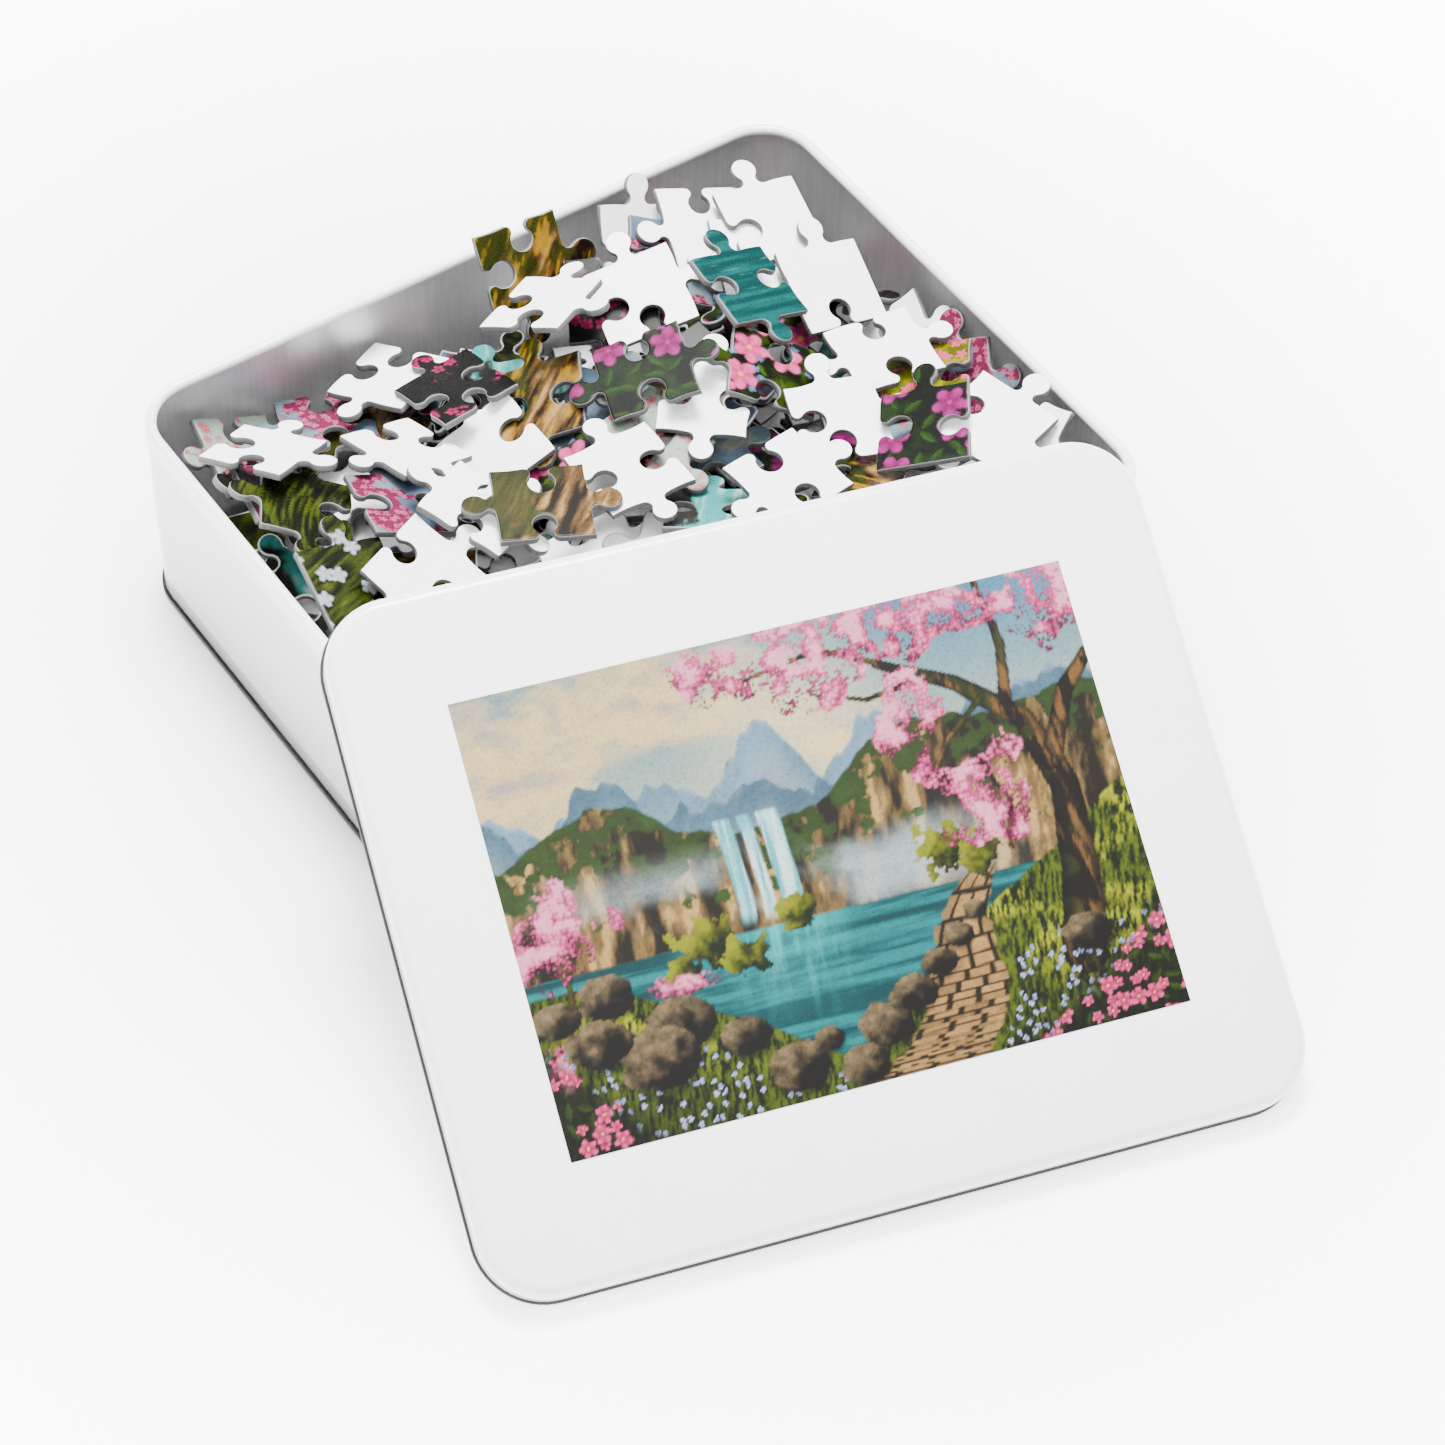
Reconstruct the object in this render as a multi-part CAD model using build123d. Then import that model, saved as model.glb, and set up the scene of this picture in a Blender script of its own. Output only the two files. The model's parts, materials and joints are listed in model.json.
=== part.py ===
from build123d import *
import math
import os
import random

import numpy as np

# Jigsaw puzzle in a tin: an open tin box full of loose pieces, its lid leaning on the front rim.
# Millimetres, +Z up. The origin is the middle of the tin's underside. The long sides of the tin
# run along X, its front is at -Y.

# ---- driving dimensions ----
TIN_LENGTH = 200.0          # outer size along X
TIN_WIDTH = 165.0           # outer size along Y
TIN_HEIGHT = 60.0           # floor to top of the rolled rim
CORNER_RADIUS = 16.0        # outer radius of the tin's upright corners
SHEET = 0.4                 # tinplate thickness
RIM_ROLL = 1.45             # outer radius of the inward rolled rim
SEAM_PROUD = 0.8            # how far the bottom seam stands out of the wall
SEAM_HEIGHT = 1.9           # height of the bottom seam
FLOOR_LEVEL = 1.3           # top of the tin's floor sheet

LID_PLAY = 1.2              # lid outside minus tin outside, each side
LID_DEPTH = 9.3             # hem to top face
LID_SHOULDER = 3.0          # outer radius where the top turns into the skirt
HEM_RADIUS = 0.65           # folded hem along the lid's open edge
LID_TURN = -16.35           # degrees about Z
LID_TILT = 27.92            # degrees the lid leans back
LID_CENTRE = (-30.5, -119.3, 39.01)   # middle of the lid's open side
LABEL_LENGTH, LABEL_WIDTH, LABEL_SHEET = 150.4, 109.0, 0.15

PITCH = 23.5                # puzzle piece pitch
BOARD = 1.9                 # puzzle board thickness
SEED = 20                   # fixes every random choice in the heap

# ---- heap settings ----
CELL = 0.75                 # cell of the height map the pieces are dropped on
CLEARANCE = 0.10            # smallest gap left between two pieces
STEEPEST = 0.42             # steepest slope a dropped piece settles at
LAYER = 5.8                 # room one more piece over a spot takes
LAST_LAID = 19              # how many of the top pieces make the top layer
SIGHT = (0.487, 0.685)      # sideways travel per millimetre of drop, see TOP_PIECES

# The pieces on top of the heap, lowest first: (x, y, heading, side up, edges, slope or None).
# x, y say where a slanted line through the piece's middle crosses the rim plane; the piece slides
# down along that line until it rests. Edges are bottom, right, top, left: 1 knob, -1 socket,
# 0 straight border. A slope (rise along X, rise along Y) is for pieces propped on a wall.
P, W = "picture", "back"
TOP_PIECES = [
    # back wall and back left corner
    (47, 72, -28, W, (1, -1, 1, -1), (-0.10, 1.35)),
    (10, 73, -14, P, (1, 1, -1, -1), (0.05, 1.25)),
    (-84, 61, -12, P, (-1, 1, -1, 1), (-0.55, 0.35)),
    (-52, 57, 24, P, (1, -1, -1, 1), None),
    (-94, 38, 80, P, (1, -1, 1, 1), (-0.85, 0.10)),
    # right wall
    (88, -3, 62, W, (1, -1, 1, 1), (1.15, -0.10)),
    (91, -26, 35, P, (1, 1, -1, 1), (1.05, 0.12)),
    (90, -55, 20, W, (1, -1, 1, -1), (0.75, 0.0)),
    # second layer
    (70, 18, -28, P, (-1, 1, 1, -1), None),
    (57, 12, 15, P, (-1, 1, 1, -1), None),
    (44, 48, -38, P, (1, -1, 1, -1), None),
    (23, 49, -24, P, (1, 1, -1, 1), None),
    (10, -9, 4, P, (-1, 1, -1, 1), None),
    (3, -25, -32, P, (1, -1, 1, -1), None),
    (57, -41, -20, P, (1, -1, 1, 1), None),
    (45, -36, 38, P, (1, -1, -1, 1), None),
    (-20, 38, -22, P, (-1, 1, 1, -1), None),
    (-2, 19, 32, P, (-1, 1, -1, 1), None),
    (-22, 12, -10, P, (1, -1, 1, -1), None),
    (5, 4, 12, P, (1, 1, 1, -1), None),
    (-66, 60, -14, P, (-1, -1, -1, 1), None),
    (-79, 29, -26, P, (1, -1, 1, 1), None),
    (-88, -1, -8, P, (1, -1, 1, 0), None),
    (74, -19, -34, P, (1, -1, 1, 1), None),
    (81, -42, 22, W, (1, 1, -1, 1), None),
    (-12, 29, -32, P, (1, -1, 1, -1), None),
    (-30, 22, -6, W, (1, -1, 1, 1), None),
    (60, 59, -20, W, (1, 1, -1, 1), None),
    (62, 40, -18, W, (1, -1, 1, 1), None),
    (-84, 51, 38, W, (1, 1, -1, -1), None),
    (-43, 59, 22, W, (1, -1, -1, 1), None),
    # top layer
    (76, 50, -5, W, (1, 0, 1, -1), None),
    (75, 27, 1, W, (-1, 0, 1, 1), None),
    (35, 48, -14, W, (-1, 1, 1, -1), None),
    (8, 53, 14, W, (1, 1, -1, -1), (0.10, -0.40)),
    (-64, 21, -9, P, (1, -1, 1, -1), None),
    (-71, -2, 8, W, (-1, 1, -1, 1), None),
    (-51, 34, 16, W, (1, -1, -1, 1), None),
    (-28, 44, 2, P, (-1, -1, 1, -1), None),
    (22, 5, -30, W, (1, -1, 1, -1), None),
    (42, 3, -24, P, (-1, 1, -1, 1), None),
    (22, 31, -20, P, (-1, 1, -1, 1), None),
    (52, 32, 0, P, (1, -1, 1, -1), None),
    (-48, 6, 30, W, (1, -1, 1, -1), None),
    (-6, -2, -12, W, (1, -1, 1, -1), None),
    (-33, -5, -17, P, (-1, 1, -1, 1), None),
    (68, -2, 7, W, (-1, 1, -1, 1), None),
    (50, -18, -13, W, (-1, 1, 1, -1), None),
    (63, -31, -34, P, (0, -1, 1, -1), None),
    (28, -25, -3, W, (-1, 1, -1, 1), None),
]


# ---- puzzle piece outline ----

def knob_shape(rng):
    """Head radius, neck fillet radius, height of the head's middle, shift along the side, bow."""
    head, neck = rng.uniform(3.0, 3.5), rng.uniform(1.5, 1.9)
    return head, neck, head + rng.uniform(1.5, 1.9), rng.uniform(-1.2, 1.2), rng.uniform(-0.3, 0.3)


def side_curves(start, end, kind, shape):
    """One side from corner to corner: curve, fillet, round head, fillet, curve (or one line)."""
    start, end = np.array(start), np.array(end)
    if kind == 0:
        return [(start, end)]
    head, neck, height, shift, bow = shape
    length = np.linalg.norm(end - start)
    along = (end - start) / length
    out = np.array([along[1], -along[0]]) * kind
    middle = length / 2 + shift
    reach = math.sqrt((head + neck) ** 2 - (height - neck) ** 2)

    def at(u, v):
        return start + along * (middle + u) + out * v

    def fillet(sign):
        centre = np.array([sign * reach, neck])
        towards = np.array([0.0, height]) - centre
        towards = towards / np.linalg.norm(towards)
        half = towards + np.array([0.0, -1.0])
        half = half / np.linalg.norm(half)
        return at(sign * reach, 0), at(*(centre + half * neck)), at(*(centre + towards * neck))

    foot1, mid1, tip1 = fillet(-1)
    foot2, mid2, tip2 = fillet(1)
    bend = out * bow * kind
    return [(start, (start + foot1) / 2 + bend, foot1), (foot1, mid1, tip1),
            (tip1, at(0, height + head), tip2), (tip2, mid2, foot2),
            (foot2, (foot2 + end) / 2 + bend, end)]


def piece_outline(rng, edges=None):
    """Curves round one piece, counter-clockwise, about the middle of its body."""
    half = PITCH / 2
    corners = [(sx * half + rng.uniform(-0.6, 0.6), sy * half + rng.uniform(-0.6, 0.6))
               for sx, sy in ((-1, -1), (1, -1), (1, 1), (-1, 1))]
    if edges is None:
        edges = [rng.choice((1, -1)) for _ in range(4)]
    curves = []
    for k in range(4):
        curves += side_curves(corners[k], corners[(k + 1) % 4], edges[k], knob_shape(rng))
    return curves


def curve_points(curve, step=0.35):
    """Points along a line or a three-point arc, without its end."""
    if len(curve) == 2:
        count = max(2, int(np.linalg.norm(curve[1] - curve[0]) / step))
        return [curve[0] + (curve[1] - curve[0]) * k / count for k in range(count)]
    (ax, ay), (bx, by), (cx, cy) = curve
    twice = 2 * (ax * (by - cy) + bx * (cy - ay) + cx * (ay - by))
    if abs(twice) < 1e-6:
        return curve_points((curve[0], curve[2]), step)
    a2, b2, c2 = ax * ax + ay * ay, bx * bx + by * by, cx * cx + cy * cy
    ux = (a2 * (by - cy) + b2 * (cy - ay) + c2 * (ay - by)) / twice
    uy = (a2 * (cx - bx) + b2 * (ax - cx) + c2 * (bx - ax)) / twice
    radius = math.hypot(ax - ux, ay - uy)
    first, last = math.atan2(ay - uy, ax - ux), math.atan2(cy - uy, cx - ux)
    turn = 1 if (bx - ax) * (cy - by) - (by - ay) * (cx - bx) > 0 else -1
    while (last - first) * turn < 0:
        last += turn * 2 * math.pi
    count = max(2, int(radius * abs(last - first) / step))
    angles = first + (last - first) * np.arange(count) / count
    return [np.array([ux + radius * math.cos(t), uy + radius * math.sin(t)]) for t in angles]


def outline_points(curves):
    return np.array([point for curve in curves for point in curve_points(curve)])


# ---- dropping pieces into the tin ----

HALF_X, HALF_Y = TIN_LENGTH / 2 - SHEET, TIN_WIDTH / 2 - SHEET
NX, NY = int(2 * HALF_X / CELL), int(2 * HALF_Y / CELL)
GRID_X = (np.arange(NX) + 0.5 - NX / 2) * CELL
GRID_Y = (np.arange(NY) + 0.5 - NY / 2) * CELL


def inside_wall(points, inset):
    """True when every point is within the tin's inner outline, less the inset."""
    hx, hy, radius = HALF_X - inset, HALF_Y - inset, CORNER_RADIUS - SHEET - inset
    ax, ay = np.abs(points[:, 0]), np.abs(points[:, 1])
    dx, dy = np.maximum(ax - hx + radius, 0), np.maximum(ay - hy + radius, 0)
    return bool(np.all((ax <= hx) & (ay <= hy) & (dx * dx + dy * dy <= radius * radius)))


def in_polygon(polygon, qx, qy):
    """Even-odd test of a grid of points against a polygon."""
    result = np.zeros(qx.shape, bool)
    nx, ny = polygon[-1]
    for px, py in polygon:
        if py != ny:
            crosses = (py > qy) != (ny > qy)
            result ^= crosses & (qx < (nx - px) * (qy - py) / (ny - py) + px)
        nx, ny = px, py
    return result


def axes_of(slope, heading):
    """Rotation whose third axis is the plane's normal and whose first axis follows the heading."""
    normal = np.array([-slope[0], -slope[1], 1.0])
    normal = normal / np.linalg.norm(normal)
    first = np.array([math.cos(heading), math.sin(heading), 0.0])
    first = first - (first @ normal) * normal
    first = first / np.linalg.norm(first)
    return np.column_stack([first, np.cross(normal, first), normal])


def resting_plane(x, y, z):
    """Plane over all the points that is lowest above the origin, found by swapping one of its
    three props at a time for the point that pokes through it most."""
    angle, reach = np.arctan2(y, x), np.hypot(x, y)
    props = [int(np.argmax(np.cos(angle - t) * reach)) for t in (-2.8, -0.7, 1.4)]
    plane = np.array([0.0, 0.0, z.max()])
    for _ in range(60):
        matrix = np.array([[x[i], y[i], 1.0] for i in props])
        if abs(np.linalg.det(matrix)) < 1e-6:
            return plane
        plane = np.linalg.solve(matrix, z[props])
        over = z - (plane[0] * x + plane[1] * y + plane[2])
        worst = int(np.argmax(over))
        if over[worst] < 1e-6:
            return plane
        best = None
        for k in range(3):
            trial = list(props)
            trial[k] = worst
            matrix = np.array([x[trial], y[trial], np.ones(3)])
            if abs(np.linalg.det(matrix)) < 1e-6:
                continue
            weights = np.linalg.solve(matrix, np.array([0.0, 0.0, 1.0]))
            if weights.min() >= -1e-9 and (best is None or weights @ z[trial] > best[0]):
                best = (weights @ z[trial], trial)
        if best is None:
            return plane
        props = best[1]
    return plane


class Heap:
    """Pieces already in the tin, with a map of how high they reach in each cell."""

    def __init__(self):
        self.height = np.full((NX, NY), FLOOR_LEVEL)
        self.placed = []

    def footprint(self, points, axes, x, y):
        """Cells a tilted plate covers, seen from above, and its outline's plan positions."""
        low = points @ axes[:2, :2].T + (x, y)
        high = low + BOARD * axes[:2, 2]
        both = np.vstack([low, high])
        i0, j0 = np.maximum(((both.min(0) / CELL) + (NX / 2, NY / 2)).astype(int) - 1, 0)
        i1, j1 = ((both.max(0) / CELL) + (NX / 2, NY / 2)).astype(int) + 2
        i1, j1 = min(i1, NX), min(j1, NY)
        gx, gy = np.meshgrid(GRID_X[i0:i1], GRID_Y[j0:j1], indexing="ij")
        mask = in_polygon(low[::5], gx, gy)
        if axes[2, 2] < 0.99:
            mask |= in_polygon(high[::5], gx, gy)
        ci = (both[:, 0] / CELL + NX / 2).astype(int) - i0
        cj = (both[:, 1] / CELL + NY / 2).astype(int) - j0
        kept = (ci >= 0) & (ci < mask.shape[0]) & (cj >= 0) & (cj < mask.shape[1])
        mask[ci[kept], cj[kept]] = True
        return (slice(i0, i1), slice(j0, j1)), mask, gx, gy, both

    def settle(self, points, x, y, heading, slope=None):
        """Where a plate dropped at x, y comes to rest, or None if it meets the wall."""
        tilt = np.array(slope if slope else (0.0, 0.0))
        for turn in range(0 if slope else 5):
            axes = axes_of(tilt, heading)
            window, mask, gx, gy, both = self.footprint(points, axes, x, y)
            if not inside_wall(both, 0.3):
                return None
            plane = resting_plane(gx[mask] - x, gy[mask] - y, self.height[window][mask])[:2]
            steep = math.hypot(*plane)
            plane = plane * min(1.0, STEEPEST / max(steep, 1e-9))
            tilt = tilt + (plane - tilt) * (1.0 if turn == 0 else 0.6)
        axes = axes_of(tilt, heading)
        window, mask, gx, gy, both = self.footprint(points, axes, x, y)
        if not inside_wall(both, 0.3):
            return None
        margin = (abs(tilt[0]) + abs(tilt[1])) * CELL / 2
        under = tilt[0] * (gx[mask] - x) + tilt[1] * (gy[mask] - y) - margin
        z = float(np.max(self.height[window][mask] - under)) + CLEARANCE
        local = np.vstack([points, points])
        rise = local @ axes[2, :2] + z
        rise[len(points):] += BOARD * axes[2, 2]
        tall = both[rise > TIN_HEIGHT - 2 * RIM_ROLL - 2.0]
        if len(tall) and not inside_wall(tall, 2 * RIM_ROLL + 0.6):
            return None
        return {"axes": axes, "tilt": tilt, "x": x, "y": y, "z": z, "top": float(rise.max()),
                "window": window, "mask": mask, "gx": gx, "gy": gy}

    def place(self, rest, curves, name, side):
        slope = rest["tilt"]
        thick = BOARD * math.sqrt(1 + slope @ slope) + (abs(slope[0]) + abs(slope[1])) * CELL / 2
        top = rest["z"] + slope[0] * (rest["gx"] - rest["x"]) + slope[1] * (rest["gy"] - rest["y"])
        patch = self.height[rest["window"]]
        patch[rest["mask"]] = np.maximum(patch, top + thick)[rest["mask"]]
        self.placed.append((rest, curves, name, side))


def ramp(value, low, high):
    """0 below low, 1 above high, smooth between."""
    t = min(max((value - low) / (high - low), 0.0), 1.0)
    return t * t * (3 - 2 * t)


def crest(x, y):
    """Height the middle of a top piece should reach: a mound, low at the back and right walls."""
    return 56.5 - max(13 * ramp(x, 60, 94), 13 * ramp(y, 46, 78), 4 * ramp(-y, 50, 80))


def bed_level(x, y, raises):
    """Height the buried pieces are filled to: the crest less the room that the listed pieces over
    this spot take, raised or lowered by what the last try fell short."""
    over = sum(math.exp(-((x - px - 5) ** 2 + (y - py - 6) ** 2) / 340.0) * (2.0 if slope else 1.0)
               for px, py, _, _, _, slope in TOP_PIECES)
    pull = [(math.exp(-((x - rx) ** 2 + (y - ry) ** 2) / 500.0), raised) for rx, ry, raised in raises]
    total = sum(weight for weight, _ in pull)
    change = sum(weight * raised for weight, raised in pull) / (total + 0.25)
    return max(crest(x, y) - 3.0 - LAYER * over + change, 6.0)


def fill_bed(heap, rng, raises):
    """Drop buried pieces where the heap is lowest until it reaches its level everywhere."""
    misses = 0
    while misses < 45:
        best = None
        for _ in range(4):
            for _ in range(14):
                x = rng.uniform(-HALF_X + 11, HALF_X - 11)
                y = rng.uniform(-HALF_Y + 11, HALF_Y - 11)
                low = heap.height[int(x / CELL + NX / 2), int(y / CELL + NY / 2)]
                goal = bed_level(x, y, raises)
                if low < goal - 5:
                    break
            curves = piece_outline(rng)
            slope = None
            if rng.random() < 0.5:
                lean, way = 0.30 * math.sqrt(rng.random()), rng.uniform(0, 2 * math.pi)
                slope = (lean * math.cos(way), lean * math.sin(way))
            rest = heap.settle(outline_points(curves), x, y, rng.uniform(0, 2 * math.pi), slope)
            if rest and (best is None or rest["z"] - goal < best[0]):
                best = (rest["z"] - goal, rest, curves)
        if best is None or best[0] > 0:
            misses += 1
            continue
        side = rng.choice((P, W))
        where = "back" if best[1]["y"] > 0 else "front"
        heap.place(best[1], best[2], "buried_" + side + "_up_" + where, side)


def lay_top(heap, rng, tries):
    """Lay the listed pieces on the bed. Each slides back along its line until it rests on it. The
    last ones are nudged so that they lie over each other as little as possible."""
    numbers = {P: 0, W: 0}
    reached = []
    crown = np.zeros((NX, NY), bool)
    for index, (px, py, heading, side, edges, slope) in enumerate(TOP_PIECES):
        last = index >= len(TOP_PIECES) - LAST_LAID
        curves = piece_outline(rng, edges)
        points = outline_points(curves)
        numbers[side] += 1
        name = "%s_up_piece_%02d" % (side, numbers[side])
        best = None
        for attempt in range(tries):
            level, rest = 52.0, None
            reach = 2.2 + 0.3 * attempt if last else 2.2
            jx, jy, turn = [rng.uniform(-1, 1) * reach * min(attempt, 1) for _ in range(3)]
            for _ in range(3):
                x = px + jx + (TIN_HEIGHT - 4 - level) * SIGHT[0]
                y = py + jy + (TIN_HEIGHT - 4 - level) * SIGHT[1]
                for pull in range(16):
                    rest = heap.settle(points, x, y, math.radians(heading + 3 * turn), slope)
                    if rest:
                        level = rest["z"]
                        break
                    x, y = x * 0.985, y * 0.98
            if rest is None:
                continue
            high = rest["z"] - crest(x, y)
            score = max(1.2 * high, -0.4 * high) + 1.4 * (rest["top"] - rest["z"])
            if last:
                score += 0.05 * np.count_nonzero(crown[rest["window"]] & rest["mask"])
            if best is None or score < best[0]:
                best = (score, rest)
        if best is None:
            continue
        rest = best[1]
        heap.place(rest, curves, name, side)
        if last:
            crown[rest["window"]] |= rest["mask"]
            reached.append((rest["x"], rest["y"], crest(rest["x"], rest["y"]) - rest["z"]))
    return reached


def build_heap():
    """Build the heap three times, each time mending the bed by what the last top layer missed."""
    raises = []
    for tries in (1, 2, 12):
        heap, rng = Heap(), random.Random(SEED)
        fill_bed(heap, rng, raises)
        reached = lay_top(heap, rng, tries)
        raises = raises + [(x, y, miss * 0.8) for x, y, miss in reached] if not raises else [
            (x, y, old[2] + miss * 0.7) for (x, y, miss), old in zip(reached, raises)]
    return heap.placed


# ---- solids ----

def piece_solid(rest, curves):
    edges = []
    for curve in curves:
        ends = [(float(p[0]), float(p[1])) for p in curve]
        edges.append(Line(*ends) if len(ends) == 2 else ThreePointArc(*ends))
    plate = extrude(make_face(edges), BOARD)
    axes = rest["axes"]
    plane = Plane(origin=(float(rest["x"]), float(rest["y"]), float(rest["z"])),
                  x_dir=tuple(float(v) for v in axes[:, 0]), z_dir=tuple(float(v) for v in axes[:, 2]))
    return plane.location * plate.solid()


def rounded_path(length, width, radius, level):
    """Rounded rectangle that starts in the middle of its front side."""
    hx, hy = length / 2, width / 2
    s = radius * (1 - math.sqrt(0.5))
    return Wire([
        Line((0, -hy, level), (hx - radius, -hy, level)),
        ThreePointArc((hx - radius, -hy, level), (hx - s, -hy + s, level), (hx, -hy + radius, level)),
        Line((hx, -hy + radius, level), (hx, hy - radius, level)),
        ThreePointArc((hx, hy - radius, level), (hx - s, hy - s, level), (hx - radius, hy, level)),
        Line((hx - radius, hy, level), (-hx + radius, hy, level)),
        ThreePointArc((-hx + radius, hy, level), (-hx + s, hy - s, level), (-hx, hy - radius, level)),
        Line((-hx, hy - radius, level), (-hx, -hy + radius, level)),
        ThreePointArc((-hx, -hy + radius, level), (-hx + s, -hy + s, level),
                      (-hx + radius, -hy, level)),
        Line((-hx + radius, -hy, level), (0, -hy, level))])


def ring(length, width, radius, thickness, low, high):
    """Upright band with a rounded rectangular outline."""
    outer = RectangleRounded(length, width, radius)
    inner = RectangleRounded(length - 2 * thickness, width - 2 * thickness, radius - thickness)
    return Pos(0, 0, low) * extrude(outer - inner, high - low)


def rolled_rim():
    """Inward curl along the top of the wall: an open tube of sheet, swept round the tin."""
    r, y, z = RIM_ROLL, -TIN_WIDTH / 2 + RIM_ROLL, TIN_HEIGHT - RIM_ROLL

    def at(radius, degrees):
        return (0, y + radius * math.cos(math.radians(degrees)),
                z + radius * math.sin(math.radians(degrees)))

    inner = r - SHEET
    section = make_face([ThreePointArc(at(r, 180), at(r, 35), at(r, -110)),
                         Line(at(r, -110), at(inner, -110)),
                         ThreePointArc(at(inner, -110), at(inner, 35), at(inner, 180)),
                         Line(at(inner, 180), at(r, 180))])
    return sweep(section, rounded_path(TIN_LENGTH, TIN_WIDTH, CORNER_RADIUS, z), is_frenet=False)


def tin_wall():
    band = ring(TIN_LENGTH, TIN_WIDTH, CORNER_RADIUS, SHEET, FLOOR_LEVEL, TIN_HEIGHT - RIM_ROLL)
    return (band + rolled_rim()).solid()


def tin_bottom():
    """Floor sheet with a seam bead that wraps the foot of the wall."""
    length, width = TIN_LENGTH + 2 * SEAM_PROUD, TIN_WIDTH + 2 * SEAM_PROUD
    radius = CORNER_RADIUS + SEAM_PROUD
    foot = extrude(RectangleRounded(length, width, radius), SEAM_HEIGHT)
    foot = fillet(foot.edges().group_by(Axis.Z)[-1] + foot.edges().group_by(Axis.Z)[0], 0.35)
    inside = Pos(0, 0, FLOOR_LEVEL) * extrude(
        RectangleRounded(TIN_LENGTH + 0.04, TIN_WIDTH + 0.04, CORNER_RADIUS + 0.02), SEAM_HEIGHT)
    under = Pos(0, 0, -0.1) * extrude(
        RectangleRounded(length - 6, width - 6, radius - 3), FLOOR_LEVEL - SHEET + 0.1)
    return (foot - inside - under).solid()


def lid_shell():
    length, width = TIN_LENGTH + 2 * LID_PLAY, TIN_WIDTH + 2 * LID_PLAY
    radius = CORNER_RADIUS + LID_PLAY
    outer = extrude(RectangleRounded(length, width, radius), LID_DEPTH)
    outer = fillet(outer.edges().group_by(Axis.Z)[-1], LID_SHOULDER)
    inner = extrude(RectangleRounded(length - 2 * SHEET, width - 2 * SHEET, radius - SHEET),
                    LID_DEPTH - SHEET)
    inner = fillet(inner.edges().group_by(Axis.Z)[-1], LID_SHOULDER - SHEET)
    shell = outer - inner
    inset = 2 * HEM_RADIUS
    hem = ring(length, width, radius, inset, 0, 2 * HEM_RADIUS)
    hem = fillet(hem.edges().group_by(Axis.Z)[-1] + hem.edges().group_by(Axis.Z)[0],
                 HEM_RADIUS * 0.8)
    shell = shell - ring(length + 1, width + 1, radius + 0.5, 2.5, -0.5, HEM_RADIUS)
    return (shell + hem).solid()


def lid_place():
    return Pos(*LID_CENTRE) * Rot(0, 0, LID_TURN) * Rot(LID_TILT, 0, 0)


def make_part():
    os.makedirs("parts", exist_ok=True)
    place = lid_place()
    label = Pos(0, 0, LID_DEPTH) * extrude(Rectangle(LABEL_LENGTH, LABEL_WIDTH), LABEL_SHEET)
    nodes = {"tin_wall": [tin_wall()], "tin_bottom": [tin_bottom()],
             "lid_shell": [place * lid_shell()], "lid_picture_label": [place * label.solid()]}
    for rest, curves, name, side in build_heap():
        nodes.setdefault(name, []).append(piece_solid(rest, curves))
    for name, solids in nodes.items():
        shape = solids[0] if len(solids) == 1 else Compound(children=solids)
        export_step(shape, "parts/" + name + ".step")


make_part()
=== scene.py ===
import json
import math

import bpy
import numpy as np
from mathutils import Matrix, Vector
from mathutils.geometry import delaunay_2d_cdt


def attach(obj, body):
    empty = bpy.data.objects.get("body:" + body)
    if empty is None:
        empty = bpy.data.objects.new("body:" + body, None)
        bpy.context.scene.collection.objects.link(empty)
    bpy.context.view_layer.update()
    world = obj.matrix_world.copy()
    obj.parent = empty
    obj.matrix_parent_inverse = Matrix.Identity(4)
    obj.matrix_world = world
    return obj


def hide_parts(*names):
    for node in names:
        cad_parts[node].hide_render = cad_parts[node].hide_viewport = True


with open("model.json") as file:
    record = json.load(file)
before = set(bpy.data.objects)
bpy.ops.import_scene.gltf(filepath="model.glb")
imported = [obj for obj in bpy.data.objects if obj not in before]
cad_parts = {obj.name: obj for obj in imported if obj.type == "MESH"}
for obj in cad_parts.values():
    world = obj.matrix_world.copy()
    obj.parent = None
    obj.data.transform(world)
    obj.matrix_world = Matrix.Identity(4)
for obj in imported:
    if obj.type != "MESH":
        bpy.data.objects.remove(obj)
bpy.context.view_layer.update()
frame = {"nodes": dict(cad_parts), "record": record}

MM = 0.001
NODES = frame["nodes"]
BODY_OF = {node: body for body, nodes in frame["record"]["behaviour"]["bodies"].items()
        for node in nodes}

# tin, in millimetres
TIN_LENGTH, TIN_WIDTH, TIN_HEIGHT, CORNER = 200.0, 165.0, 60.0, 16.0
SHEET, RIM_ROLL, FLOOR_LEVEL, SEAM_BAND = 0.4, 1.45, 1.3, 3.0
# lid
LID_PLAY, LID_DEPTH, LID_SHOULDER, LID_HEM, SKIRT_INSET = 1.2, 9.3, 3.0, 0.65, 0.7
LID_TURN, LID_TILT, LID_CENTRE = -16.35, 27.92, (-30.5, -119.3, 39.01)
LABEL_LENGTH, LABEL_WIDTH, LABEL_SHEET = 150.4, 109.0, 0.15
BOARD = 1.9


# ---- noise and colour helpers, all on whole arrays ----

def hashed(ix, iy, seed):
    """Repeatable scatter between 0 and 1 for whole-number cells: a sine of the cell's place, large,
    less its whole part."""
    value = np.sin(ix * 127.1 + iy * 311.7 + seed * 74.7) * 43758.5453
    return value - np.floor(value)


def noise(x, y, seed=0):
    """Smooth value noise: each cell corner has a random height, blended by 3t^2 - 2t^3."""
    ix, iy = np.floor(x), np.floor(y)
    fx, fy = x - ix, y - iy
    fx, fy = fx * fx * (3 - 2 * fx), fy * fy * (3 - 2 * fy)
    low = hashed(ix, iy, seed) * (1 - fx) + hashed(ix + 1, iy, seed) * fx
    high = hashed(ix, iy + 1, seed) * (1 - fx) + hashed(ix + 1, iy + 1, seed) * fx
    return low * (1 - fy) + high * fy


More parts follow.
